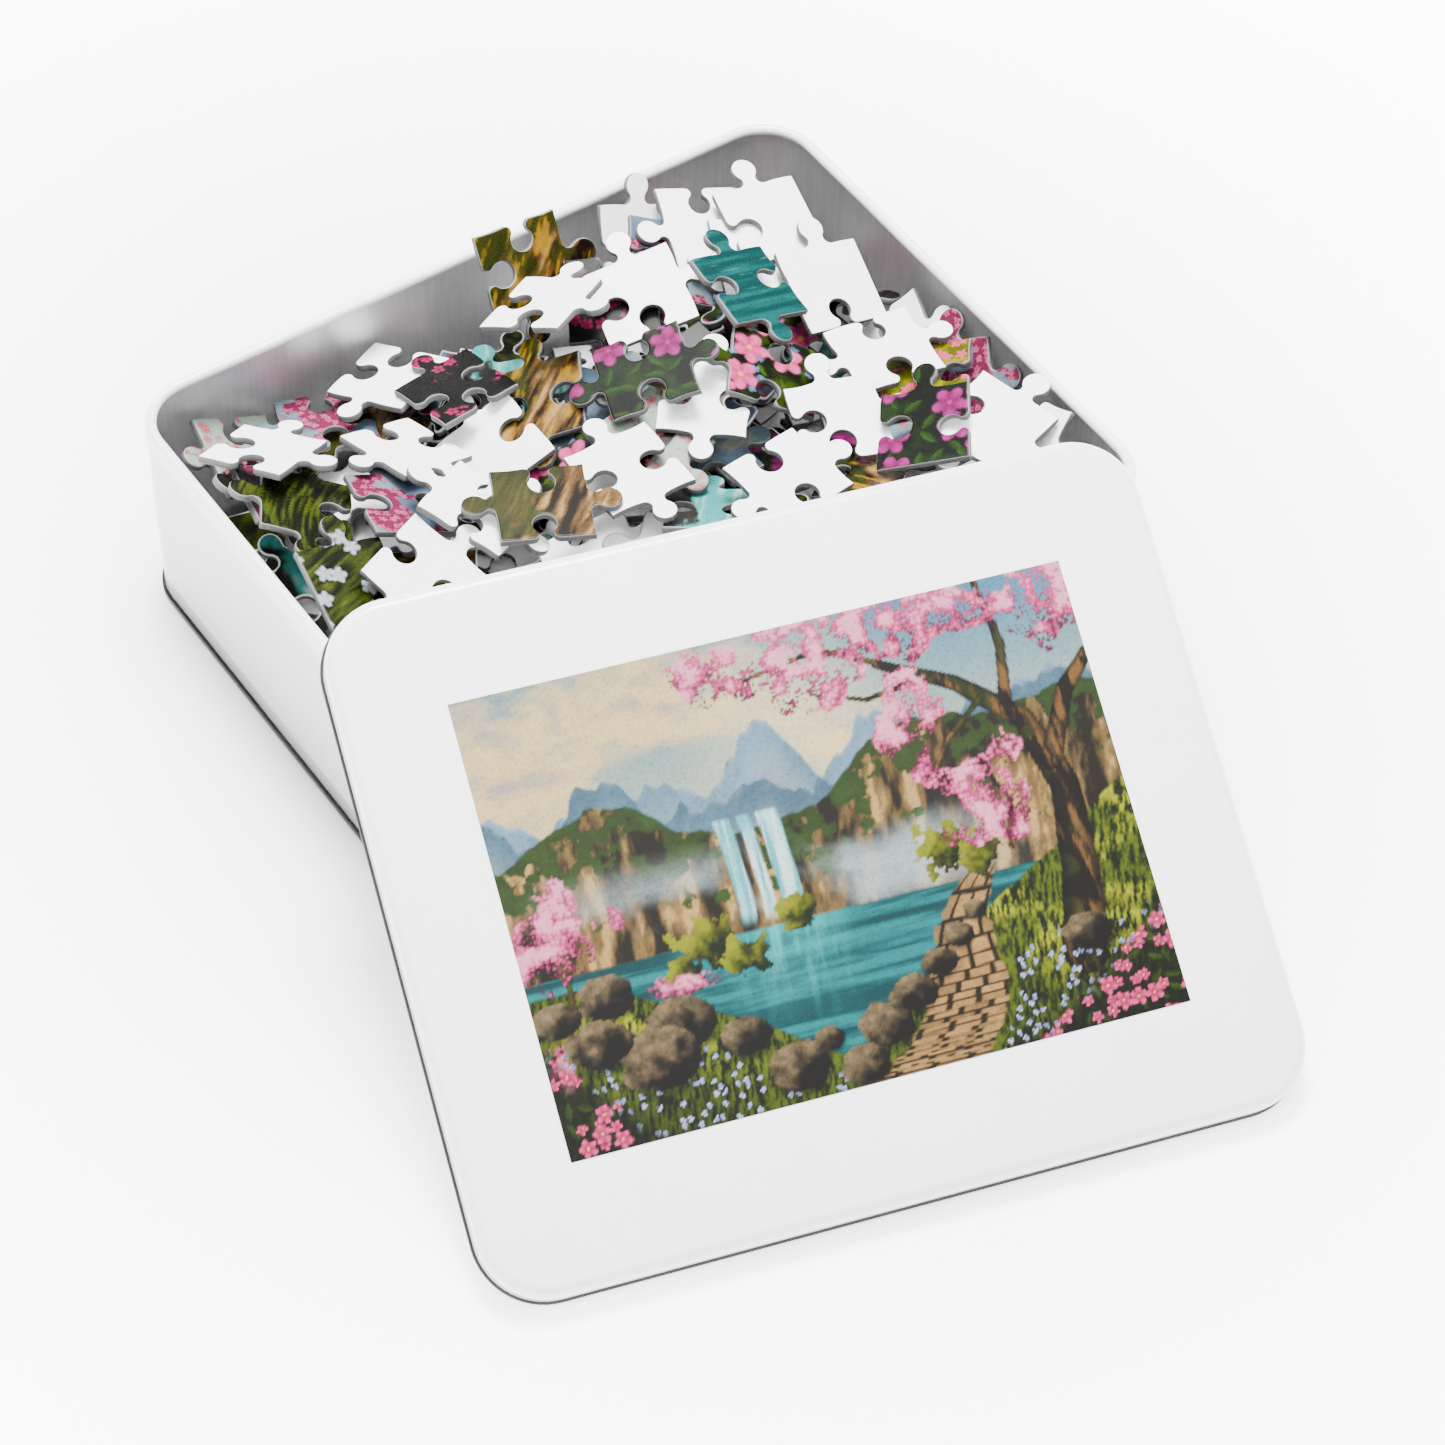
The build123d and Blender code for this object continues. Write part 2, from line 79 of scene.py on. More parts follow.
def cloudy(x, y, seed=0, octaves=5):
    """Sum of noise at doubled scale and halved strength, between 0 and 1."""
    total, weight, top = 0.0, 0.5, 0.0
    for k in range(octaves):
        total = total + weight * noise(x * 2 ** k, y * 2 ** k, seed + 17 * k)
        top, weight = top + weight, weight * 0.5
    return total / top


def step(value, low, high):
    """0 below low, 1 above high, smooth between."""
    t = np.clip((value - low) / (high - low), 0, 1)
    return t * t * (3 - 2 * t)


def blend(under, over, amount):
    """Paint one colour over another by an amount between 0 and 1."""
    amount = np.asarray(amount)[..., None]
    return under * (1 - amount) + np.asarray(over) * amount


def cells(x, y, seed):
    """Nearest scattered point to each place: distance, its offset and its own random number."""
    ix, iy = np.floor(x), np.floor(y)
    best = [np.full(np.shape(x), 9.0)] + [np.zeros(np.shape(x))] * 3
    for dx in (-1, 0, 1):
        for dy in (-1, 0, 1):
            cx, cy = ix + dx, iy + dy
            ox = x - cx - 0.15 - 0.7 * hashed(cx, cy, seed)
            oy = y - cy - 0.15 - 0.7 * hashed(cx, cy, seed + 5)
            away = np.hypot(ox, oy)
            nearer = away < best[0]
            for k, value in enumerate((away, ox, oy, hashed(cx, cy, seed + 9))):
                best[k] = np.where(nearer, value, best[k])
    return best


def petals(colour, x, y, size, seed, inner, outer, share=1.0, heart=(0.95, 0.8, 0.35), count=5):
    """Scatter round flowers: within each, the reach swings with the angle so that it has petals,
    and the colour runs from the inner to the outer one."""
    away, ox, oy, pick = cells(x / size, y / size, seed)
    angle = np.arctan2(oy, ox) + pick * 6.0
    reach = 0.4 * (0.62 + 0.38 * np.abs(np.cos(count * angle / 2)))
    body = step(reach - away, -0.015, 0.035) * (pick < share)
    shade = np.clip(away / 0.4, 0, 1)
    ribs = 0.86 + 0.14 * np.cos(count * angle) + 0.12 * (noise(x * 1.7, y * 1.7, seed + 3) - 0.5)
    tone = blend(np.asarray(inner) + 0 * x[..., None], outer, shade) * ribs[..., None]
    colour = blend(colour, colour * 0.45, step(0.47 - away, -0.02, 0.1) * (pick < share) * 0.7)
    colour = blend(colour, tone, body)
    return blend(colour, heart, step(0.055 - away, -0.02, 0.02) * (pick < share))


def leaves(colour, x, y, size, seed, tone, share=0.6):
    """Scatter pointed leaves, lighter along one side of the rib."""
    away, ox, oy, pick = cells(x / size, y / size, seed)
    angle = pick * 6.283
    along = ox * np.cos(angle) + oy * np.sin(angle)
    across = -ox * np.sin(angle) + oy * np.cos(angle)
    form = 0.16 * np.clip(1 - (along / 0.46) ** 2, 0, 1) - np.abs(across)
    tint = np.asarray(tone) * (0.75 + 0.5 * step(across, -0.05, 0.05) + 0.3 * (pick - 0.5))[..., None]
    return blend(colour, tint, step(form, -0.01, 0.02) * (pick < share))


# ---- the print on each puzzle piece, worked out in millimetres on the piece ----

def streaks(x, y, turn, stretch, scale, seed):
    """Cloudy pattern drawn out along one direction."""
    c, s = math.cos(turn), math.sin(turn)
    return cloudy((x * c + y * s) / (scale * stretch), (-x * s + y * c) / scale, seed, 5)


def patches(x, y, size, seed, low, high):
    """Soft-edged patches: a step on cloudy noise of this size."""
    return step(cloudy(x / size, y / size, seed), low, high)


def flat(x, tone):
    """One tone over the whole array, to paint on."""
    return np.zeros(x.shape + (3,)) + np.asarray(tone)


def tones(x, under, over, amount):
    """Two tones over the whole array, by an amount between 0 and 1."""
    return blend(flat(x, under), over, amount)


def water_print(x, y, seed):
    """Still teal water: long level ripples, a few lighter lines."""
    grain = streaks(x, y, 0.03, 14, 1.5, seed)
    tone = tones(x, (0.018, 0.115, 0.115), (0.045, 0.22, 0.21), step(grain, 0.35, 0.7))
    return blend(tone, (0.2, 0.42, 0.42), step(streaks(x, y, 0.02, 26, 0.5, seed + 3), 0.66, 0.8) * 0.6)


def bark_print(x, y, seed):
    """Tree bark: deep grooves along the trunk, lit ridges, moss on one side."""
    turn = 1.05 + 0.5 * math.sin(seed)
    sway = x + 1.2 * noise(x * 0.2, y * 0.2, seed)
    ridge = streaks(sway, y, turn, 6, 2.3, seed)
    fine = streaks(sway, y, turn, 9, 0.7, seed + 4)
    tone = flat(x, (0.03, 0.02, 0.012))
    tone = blend(tone, (0.3, 0.19, 0.09), step(ridge + 0.3 * (fine - 0.5), 0.34, 0.62))
    tone = blend(tone, (0.62, 0.44, 0.24), step(ridge + 0.45 * (fine - 0.5), 0.58, 0.78))
    moss = step(cloudy(x / 9, y / 9, seed + 8) + 0.02 * (x - y), 0.48, 0.6)
    return blend(tone, np.array((0.075, 0.09, 0.022)) * (0.5 + fine)[..., None], moss * 0.85)


def gold_print(x, y, seed):
    """Bark with gilded ridges: streaks above a threshold turn gold."""
    tone = bark_print(x, y, seed)
    return blend(tone, (0.6, 0.4, 0.1), step(streaks(x, y, 1.1, 5, 1.6, seed + 2), 0.56, 0.72) * 0.8)


def meadow_print(x, y, seed):
    """Grass in olive strokes: streaks along one direction in three tones."""
    blades = streaks(x, y, 1.1 + 0.6 * math.sin(seed * 2.1), 7, 0.9, seed)
    tone = tones(x, (0.018, 0.026, 0.008), (0.11, 0.135, 0.03), step(blades, 0.3, 0.7))
    sunny = step(blades, 0.62, 0.85) * patches(x, y, 8, seed, 0.4, 0.6)
    return blend(tone, (0.27, 0.29, 0.08), sunny)


def dotted_print(x, y, seed):
    """Grass with a scatter of small pale flowers."""
    tone = meadow_print(x, y, seed)
    return petals(tone, x, y, 6.0, seed + 2, (0.75, 0.78, 0.85), (0.6, 0.68, 0.7), 0.55, (0.8, 0.7, 0.3))


def willow_print(x, y, seed):
    """Hanging fine strands over dark shade."""
    strand = streaks(x + 0.06 * y * y * 0.2, y, 1.35, 12, 0.55, seed)
    tone = tones(x, (0.022, 0.03, 0.014), (0.15, 0.18, 0.05), step(strand, 0.42, 0.72))
    return blend(tone, (0.1, 0.12, 0.13), patches(x, y, 12, seed + 2, 0.55, 0.7) * 0.5)


def magenta_print(x, y, seed):
    """Deep leaves with large magenta flowers."""
    tone = tones(x, (0.01, 0.016, 0.008), (0.035, 0.07, 0.018), patches(x, y, 6, seed, 0.35, 0.7))
    tone = leaves(tone, x, y, 6.5, seed + 1, (0.05, 0.1, 0.022), 0.9)
    return petals(tone, x, y, 12.0, seed + 2, (0.3, 0.03, 0.16), (0.52, 0.1, 0.36), 0.72, (0.5, 0.1, 0.3))


def rose_print(x, y, seed):
    """Mid-green leaves with bright pink flowers and little blue ones."""
    tone = tones(x, (0.02, 0.03, 0.008), (0.09, 0.13, 0.025), patches(x, y, 5, seed, 0.35, 0.7))
    tone = leaves(tone, x, y, 5.0, seed + 1, (0.11, 0.17, 0.035), 0.9)
    tone = petals(tone, x, y, 3.4, seed + 6, (0.38, 0.5, 0.7), (0.3, 0.4, 0.6), 0.25, (0.8, 0.8, 0.6))
    return petals(tone, x, y, 13.0, seed + 3, (0.85, 0.16, 0.34), (0.88, 0.28, 0.52), 0.75, (0.9, 0.6, 0.3))


def blossom_print(x, y, seed):
    """Pink blossom in clusters on a misty blue."""
    sky = tones(x, (0.22, 0.29, 0.38), (0.4, 0.47, 0.52), patches(x, y, 10, seed, 0.3, 0.7))
    mass = cloudy(x / 7, y / 7, seed + 3, 6)
    tone = blend(sky, (0.34, 0.08, 0.17), step(mass, 0.43, 0.5))
    tone = petals(tone, x, y, 2.6, seed + 4, (0.72, 0.2, 0.36), (0.8, 0.36, 0.5), 1.0, (0.4, 0.05, 0.12))
    return blend(sky, tone, step(mass, 0.44, 0.5))


def branch_print(x, y, seed):
    """A dark branch with blossom and a mint sky behind."""
    sky = tones(x, (0.5, 0.62, 0.55), (0.62, 0.66, 0.58), cloudy(x / 9, y / 9, seed))
    bend = y - 4 * noise(x / 9, 0 * x, seed) - 0.35 * x
    tone = blend(sky, (0.05, 0.03, 0.025), step(2.0 - np.abs(bend), 0, 0.6))
    mass = cloudy(x / 6, y / 6, seed + 7, 5)
    pink = petals(tone, x, y, 3.0, seed + 4, (0.75, 0.22, 0.3), (0.85, 0.45, 0.46), 0.95, (0.5, 0.1, 0.12))
    return blend(tone, pink, step(mass, 0.42, 0.5))


def dusk_print(x, y, seed):
    """Charcoal shade with a band of pink blossom."""
    tone = tones(x, (0.022, 0.02, 0.02), (0.06, 0.065, 0.06), cloudy(x / 7, y / 7, seed))
    pink = petals(tone, x, y, 4.4, seed + 4, (0.42, 0.05, 0.16), (0.56, 0.13, 0.27), 0.8, (0.2, 0.02, 0.06))
    return blend(tone, pink, patches(x, y, 9, seed + 2, 0.46, 0.54))


def fall_print(x, y, seed):
    """Falling water: pale aqua with white threads, rock at one edge."""
    thread = streaks(x, y, 1.45, 14, 1.0, seed)
    tone = tones(x, (0.16, 0.52, 0.5), (0.62, 0.86, 0.82), step(thread, 0.45, 0.75))
    rock = step(cloudy(x / 8, y / 14, seed + 5) + 0.03 * x, 0.55, 0.62)
    return blend(tone, np.array((0.05, 0.05, 0.045)) * (0.6 + thread)[..., None], rock)


def sky_print(x, y, seed):
    """Hazy blue-grey sky with soft warm cloud."""
    tone = tones(x, (0.2, 0.27, 0.34), (0.3, 0.38, 0.44), cloudy(x / 14, y / 14, seed))
    return blend(tone, (0.52, 0.52, 0.42), step(cloudy(x / 11, y / 8, seed + 3), 0.5, 0.72) * 0.7)


def peach_print(x, y, seed):
    """Peach and pale blue cloud with pink blossom where slow noise is high."""
    tone = tones(x, (0.8, 0.52, 0.36), (0.48, 0.6, 0.68), patches(x, y, 10, seed, 0.4, 0.6))
    pink = petals(tone, x, y, 3.2, seed + 4, (0.85, 0.3, 0.35), (0.9, 0.48, 0.48), 0.9, (0.7, 0.2, 0.2))
    return blend(tone, pink, patches(x, y, 6, seed + 2, 0.48, 0.55))


def lime_print(x, y, seed):
    """Sunlit lime leaves with pink blossom where slow noise is high."""
    tone = tones(x, (0.2, 0.22, 0.02), (0.44, 0.44, 0.05), patches(x, y, 4, seed, 0.35, 0.65))
    pink = petals(tone, x, y, 4.2, seed + 2, (0.85, 0.18, 0.3), (0.88, 0.36, 0.42), 0.9, (0.9, 0.6, 0.2))
    return blend(tone, pink, patches(x, y, 9, seed + 5, 0.45, 0.52))


# by the number of the piece that lies picture up
PRINTS = (
    gold_print, branch_print, bark_print, dusk_print, blossom_print, dusk_print, rose_print,
    blossom_print, dusk_print, sky_print, fall_print, peach_print, gold_print, fall_print,
    sky_print, rose_print, branch_print, blossom_print, willow_print, dotted_print, lime_print,
    gold_print, blossom_print, dusk_print, rose_print, magenta_print, water_print, bark_print,
    magenta_print)
BURIED_PRINTS = (magenta_print, bark_print, meadow_print, dusk_print, blossom_print, rose_print,
        willow_print, fall_print)


# ---- the lid's picture: a made-up valley, u from 0 to PICTURE_WIDE across and v from 0 to 1 up ----

PICTURE_WIDE = 1.38
FALL_AT, LAKE_LEVEL = 0.56, 0.375
# limbs of the blossom trees: points across and up the picture, then the half widths at both ends
TREE_LIMBS = (
    (1.19, 0.16, 1.23, 0.34, 1.25, 0.52, 1.2, 0.68, 1.08, 0.79, 0.92, 0.87, 0.052, 0.012),
    (1.235, 0.58, 1.31, 0.72, 1.38, 0.79, 0.026, 0.016),
    (1.17, 0.71, 1.2, 0.85, 1.18, 1.0, 0.018, 0.009),
    (1.02, 0.82, 0.88, 0.8, 0.76, 0.84, 0.01, 0.004),
    (0.95, 0.86, 0.8, 0.93, 0.62, 0.9, 0.5, 0.93, 0.01, 0.003),
    (1.13, 0.75, 1.03, 0.68, 0.97, 0.6, 0.009, 0.003),
    (0.085, 0.29, 0.095, 0.38, 0.075, 0.47, 0.01, 0.005),
    (0.095, 0.37, 0.14, 0.44, 0.006, 0.003),
    (1.1, 0.42, 1.12, 0.52, 1.09, 0.6, 0.01, 0.004))
# ovals: middle across and up, then the half width and half height
BLOSSOM_CLOUDS = (
    (0.98, 0.95, 0.34, 0.085), (0.64, 0.92, 0.17, 0.065), (0.8, 0.86, 0.15, 0.06),
    (0.97, 0.73, 0.07, 0.115), (1.31, 0.92, 0.1, 0.1), (1.08, 0.55, 0.105, 0.105),
    (1.02, 0.47, 0.06, 0.05), (0.1, 0.46, 0.115, 0.095), (0.05, 0.4, 0.07, 0.05),
    (0.31, 0.3, 0.085, 0.028), (0.03, 0.2, 0.05, 0.06), (1.14, 0.62, 0.06, 0.05),
    (0.5, 0.95, 0.07, 0.04), (0.9, 0.7, 0.03, 0.07))
# rounds: middle across and up, then the radius
BUSHES = ((0.4, 0.37, 0.065), (0.47, 0.33, 0.05), (0.95, 0.45, 0.06), (1.02, 0.42, 0.05),
        (0.6, 0.4, 0.04), (0.34, 0.33, 0.045))
BOULDERS = (
    (0.16, 0.315, 0.05), (0.3, 0.225, 0.062), (0.43, 0.165, 0.045), (0.24, 0.16, 0.07),
    (0.12, 0.22, 0.055), (0.52, 0.075, 0.055), (0.66, 0.045, 0.045), (0.73, 0.115, 0.05),
    (0.8, 0.165, 0.042), (0.87, 0.215, 0.034), (0.93, 0.262, 0.028), (1.21, 0.2, 0.045),
    (0.6, 0.115, 0.028), (0.98, 0.305, 0.022), (0.05, 0.29, 0.04))


def reach_of(path, u, v):
    """Distance from each place to a bent line, and how far along the line its nearest point is."""
    near, along = np.full(u.shape, 9.0), np.zeros(u.shape)
    for k, (p, q) in enumerate(zip(path[:-1], path[1:])):
        d = q - p
        t = np.clip(((u - p[0]) * d[0] + (v - p[1]) * d[1]) / (d @ d), 0, 1)
        away = np.hypot(u - p[0] - t * d[0], v - p[1] - t * d[1])
        along = np.where(away < near, (k + t) / (len(path) - 1), along)
        near = np.minimum(near, away)
    return near, along


def paint_sky(u, v):
    """Blend from warm to blue going up, with warm cloud banks. The cloud field less a shifted copy
    of itself gives each bank a shaded side."""
    tone = tones(u, (0.52, 0.58, 0.5), (0.16, 0.34, 0.46), step(v, 0.62, 1.02))
    bank = cloudy(u * 2.4 + 3, v * 4.2, 21, 6)
    shifted = cloudy(u * 2.4 + 3.12, v * 4.2 + 0.16, 21, 6)
    tone = blend(tone, (0.86, 0.7, 0.44), step(bank, 0.46, 0.6) * 0.95)
    shaded = step(bank - shifted, 0.01, 0.12) * step(bank, 0.46, 0.6)
    tone = blend(tone, (0.42, 0.45, 0.46), shaded * 0.8)
    return blend(tone, (0.95, 0.86, 0.6), step(0.34 - np.hypot(u - 0.72, v - 0.8), 0, 0.34) * 0.6)


def paint_peaks(tone, u, v):
    """Two far ranges. Folding noise about its middle value makes sharp crests; haze gathers below."""
    ranges = ((0.7, 0.16, (0.26, 0.36, 0.44)), (0.66, 0.13, (0.15, 0.24, 0.3)))
    for k, (base, tall, shade) in enumerate(ranges):
        crest = base + tall * (2 * np.abs(cloudy(u * (3.1 + k), 0 * v, 31 + k, 5) - 0.5) * 2 - 0.25)
        face = streaks(u, v, 0.9, 3, 0.04, 33 + k)
        rock = np.asarray(shade) * (0.75 + 0.6 * face)[..., None]
        lit = step(v, crest - 0.02, crest) * step(face, 0.45, 0.6)
        rock = blend(rock, (0.55, 0.6, 0.6), lit * 0.5)
        tone = blend(tone, rock, step(crest - v, 0, 0.006))
        haze = step(crest - v, 0.02, 0.14) * step(crest - v, 0.3, 0.1)
        tone = blend(tone, (0.5, 0.56, 0.56), haze * 0.5)
    return tone


def paint_cliffs(tone, u, v):
    """Cliffs either side of the fall: upright streaks in three tones, woods where noise plus height
    is large."""
    gap = np.abs(u - FALL_AT)
    cliff_top = 0.6 + 0.13 * step(gap, 0.1, 0.34) + 0.05 * (cloudy(u * 9, 0 * v, 41) - 0.5) \
        - 0.1 * step(0.3 - u, 0, 0.3)
    slab = streaks(u, v, 1.5, 4, 0.04, 43)
    crag = streaks(u, v, 1.4, 3, 0.9 / 60, 44)
    rock = flat(u, (0.035, 0.03, 0.022))
    rock = blend(rock, (0.28, 0.2, 0.1), step(slab + 0.4 * (crag - 0.5), 0.36, 0.6))
    rock = blend(rock, (0.62, 0.46, 0.24), step(slab + 0.5 * (crag - 0.5), 0.58, 0.76))
    wood = cloudy(u * 26, v * 26, 47, 5)
    rock = blend(rock, np.array((0.05, 0.08, 0.025)) * (0.4 + 1.5 * wood)[..., None],
            step(wood + 1.6 * (v - cliff_top + 0.05), 0.44, 0.52))
    edge = step(cliff_top + 0.02 * (wood - 0.5) - v, 0, 0.006)
    return blend(tone, rock, edge * step(v, 0.34, 0.36))


def paint_fall(tone, u, v):
    """Three sheets of upright threads, then mist where slow noise is high near their foot."""
    thread = streaks(u, v, 1.53, 18, 1.3 / 90, 51)
    fall = tones(u, (0.2, 0.58, 0.62), (0.82, 0.95, 0.94), step(thread, 0.35, 0.62))
    for middle, half in ((0.5, 0.02), (0.548, 0.016), (0.6, 0.026)):
        sheet = step(half - np.abs(u - middle - 0.012 * (noise(v * 9, 0 * v, 52) - 0.5)), 0, 0.006)
        tone = blend(tone, fall, sheet * step(0.625 - v, 0, 0.008) * step(v, 0.38, 0.42))
    mist = cloudy(u * 5, v * 7, 55, 5)
    near_foot = step(v, 0.33, 0.42) * step(0.6 - v, 0, 0.14) * step(0.62 - np.abs(u - FALL_AT), 0, 0.35)
    return blend(tone, (0.6, 0.68, 0.7), step(mist, 0.34, 0.66) * near_foot * 0.85)


def paint_lake(tone, u, v):
    """Level ripples, with a brighter column of upright streaks below the fall."""
    ripple = step(streaks(u, v, 0, 16, 1.0 / 60, 61), 0.35, 0.7)
    lake = tones(u, (0.012, 0.1, 0.11), (0.04, 0.3, 0.31), ripple)
    glow = step(0.2 - np.abs(u - FALL_AT), 0, 0.2) * step(v, 0.12, 0.4)
    column = step(streaks(u, v, 1.5, 7, 0.02, 62), 0.4, 0.7)
    lake = blend(lake, (0.16, 0.62, 0.62), glow * (0.35 + 0.6 * column))
    return blend(tone, lake, step(LAKE_LEVEL + 0.006 * cloudy(u * 3, v * 3, 2) - v, 0, 0.006))


def shore_lines(u, v):
    """Height of the left bank, which falls away from the edge, and of the right, which climbs."""
    left = 0.34 - 0.66 * np.clip(u - 0.14, 0, 2) ** 1.25 + 0.035 * (cloudy(u * 8, v * 3, 71) - 0.5)
    right = 0.02 + 0.6 * np.clip(u - 0.6, 0, 2) ** 0.85 + 0.03 * (cloudy(u * 9, v * 3, 73) - 0.5)
    return left, np.minimum(right, 0.5 + 0.02 * noise(u * 9, 0 * v, 74))


def paint_banks(tone, u, v, left, right):
    """Grass blades as upright streaks, sunlit in patches, all darker toward the near edge."""
    grass = streaks(u * 150, v * 110, 1.3, 3, 0.8, 75)
    lawn = tones(u, (0.016, 0.026, 0.006), (0.17, 0.22, 0.025), step(grass, 0.3, 0.7))
    sunny = step(cloudy(u * 7, v * 16, 76), 0.44, 0.66) * step(v, 0.04, 0.22)
    lawn = blend(lawn, (0.55, 0.56, 0.08), sunny * step(grass, 0.35, 0.7) * 0.85)
    for edge in (left, right):
        tone = blend(tone, lawn, step(edge - v, 0, 0.006))
    return tone * (1 - 0.45 * step(0.2 - v, 0, 0.22) * step(np.abs(u - 0.72), 0.1, 0.5))[..., None]


def path_line(u, v):
    """Middle of the stone path at each height, and its half width, narrowing with height."""
    return 0.8 + 0.62 * v + 0.035 * np.sin(v * 15), 0.125 - 0.22 * v


def paint_path(tone, u, v):
    """Slabs in rows. The row number runs as one over height, so that rows close up with distance."""
    line, wide = path_line(u, v)
    row = 3.1 / (np.clip(v, 0, 1) + 0.1) + 0.25 * noise(u * 9, v * 9, 79)
    across = (u - line) / np.maximum(wide, 0.01) * 1.5 + 0.8 * hashed(np.floor(row), 0, 80)
    joint = np.minimum(np.minimum(row % 1, 1 - row % 1), 0.8 * np.minimum(across % 1, 1 - across % 1))
    pick = hashed(np.floor(row), np.floor(across), 82)
    stone = np.array((0.46, 0.32, 0.17)) * (0.45 + 0.5 * pick + 0.5 * cloudy(u * 70, v * 70, 83))[..., None]
    stone = blend(stone, (0.035, 0.028, 0.015), step(0.13 - joint, 0, 0.08))
    inside = step(wide - np.abs(u - line) + 0.02 * (noise(u * 60, v * 60, 84) - 0.5), 0, 0.01)
    return blend(tone, stone, inside * step(0.4 - v, 0, 0.03))


def paint_bushes(tone, u, v):
    """Rounds with leafy edges: distance from the middle plus noise, lit from the upper left."""
    leafy = cloudy(u * 44, v * 44, 99, 4) - 0.5
    for cu, cv, r in BUSHES:
        crown = 1 - np.hypot((u - cu) * 0.9, v - cv) / r + 1.5 * leafy
        shade = step((v - cv) / r - (u - cu) / r + 3 * leafy, -1.0, 1.3)
        bush = tones(u, (0.018, 0.03, 0.006), (0.36, 0.38, 0.05), shade)
        tone = blend(tone, bush, step(crown, 0.1, 0.2))
    return tone


def paint_trees(tone, u, v):
    """Limbs as bent lines of tapering width, then ovals of blossom that noise breaks into tufts."""
    bark = tones(u, (0.02, 0.012, 0.008), (0.26, 0.16, 0.07),
            step(streaks(u, v, 1.7, 5, 1.5 / 110, 91), 0.44, 0.66))
    bark = blend(bark, (0.055, 0.07, 0.014), step(cloudy(u * 20, v * 20, 92), 0.52, 0.62) * 0.8)
    for limb in TREE_LIMBS:
        path, thick = np.array(limb[:-2]).reshape(-1, 2), limb[-2:]
        near, along = reach_of(path, u + 0.012 * (cloudy(u * 12, v * 12, 93, 3) - 0.5), v)
        half = thick[0] + (thick[1] - thick[0]) * along
        rounded = step(half * 1.15 - near, 0, half * 0.9)[..., None]
        tone = blend(tone, bark * rounded + 0.004, step(half - near, 0, 0.003))
    tuft = cloudy(u * 30, v * 30, 97, 4)
    dots = cells(u * 92, v * 92, 98)[0]
    for cu, cv, ru, rv in BLOSSOM_CLOUDS:
        edge = 1 - np.hypot((u - cu) / ru, (v - cv) / rv) + 1.7 * (cloudy(u * 17, v * 17, 95, 5) - 0.5)
        mass = step(edge, 0.12, 0.24) * step(tuft + 0.35 * (0.5 - dots), 0.38, 0.46)
        lit = tuft + 0.3 * (0.5 - dots) + 0.25 * (v - cv) / rv * 0.5
        pink = tones(u, (0.16, 0.02, 0.075), (0.66, 0.17, 0.33), step(lit, 0.36, 0.56))
        pink = blend(pink, (0.95, 0.5, 0.62), step(lit, 0.54, 0.72))
        tone = blend(tone, pink, mass)
    return tone


def paint_flowers(tone, u, v, left, right):
    """Large flowers over dark leaves in the near corners, small blue ones along the shores."""
    corner = np.maximum(step(u - 1.55 * v, 0.98, 1.1), step(0.26 - u - 0.9 * v, 0, 0.1))
    corner = corner * step(0.3 + 0.08 * (cloudy(u * 9, v * 9, 100) - 0.5) - v, 0, 0.03)
    foliage = leaves(flat(u, (0.008, 0.014, 0.004)), u, v, 0.045, 102, (0.05, 0.09, 0.015), 0.95)
    tone = blend(tone, foliage, corner * 0.85)
    for size, seed, share in ((0.034, 101, 0.5), (0.052, 103, 0.62)):
        bloom = petals(tone, u, v, size, seed, (0.5, 0.02, 0.13), (0.92, 0.27, 0.46), share,
                (0.95, 0.75, 0.4))
        tone = blend(tone, bloom, step(corner, 0.4, 0.6))
    small = petals(tone, u, v, 0.017, 107, (0.35, 0.42, 0.8), (0.7, 0.75, 0.9), 0.3, (0.9, 0.8, 0.4))
    line, wide = path_line(u, v)
    fringe = step(np.maximum(right, left) - v, 0.04, 0.07) * (np.abs(u - line) > wide + 0.02)
    return blend(tone, small, fringe * step(0.24 - v, 0, 0.05) * (1 - corner))


def paint_boulders(tone, u, v):
    """Rough ovals, lit on the upper left, each over a soft dark patch just below it."""
    for k, (cu, cv, r) in enumerate(BOULDERS):
        du, dv = (u - cu) / (r * 1.35), (v - cv) / r
        rough = cloudy(u * 38, v * 38, 120 + k, 4) - 0.5
        body = 1 - np.hypot(du, dv) + 0.4 * rough
        lit = step(dv * 0.8 - du * 0.6 + 1.6 * rough, -0.5, 0.75)
        lit = lit * (0.35 + 0.9 * cloudy(u * 90, v * 90, 140 + k, 3))
        stone = tones(u, (0.016, 0.014, 0.012), (0.34, 0.27, 0.17), lit)
        tone = blend(tone, tone * 0.35, step(1 - np.hypot(du, dv + 0.35), 0, 0.3) * 0.7)
        tone = blend(tone, stone, step(body, 0.05, 0.09))
    return tone


def lid_picture(u, v):
    """Landscape from back to front, each layer painted over the last where its own outline says."""
    tone = paint_cliffs(paint_peaks(paint_sky(u, v), u, v), u, v)
    tone = paint_lake(paint_fall(tone, u, v), u, v)
    left, right = shore_lines(u, v)
    tone = paint_path(paint_banks(tone, u, v, left, right), u, v)
    tone = paint_trees(paint_bushes(tone, u, v), u, v)
    tone = paint_boulders(paint_flowers(tone, u, v, left, right), u, v)
    return np.clip(tone * (0.94 + 0.12 * cloudy(u * 120, v * 120, 111, 2))[..., None], 0, 1)


# ---- shader nodes written as expressions ----

class Value:
    """One output socket. Arithmetic on it adds Math nodes to its material."""

    def __init__(self, paint, socket):
        self.paint, self.socket = paint, socket

    def __add__(self, other): return self.paint.math("ADD", self, other)
    __radd__ = __add__
    def __sub__(self, other): return self.paint.math("SUBTRACT", self, other)
    def __rsub__(self, other): return self.paint.math("SUBTRACT", other, self)
    def __mul__(self, other): return self.paint.math("MULTIPLY", self, other)


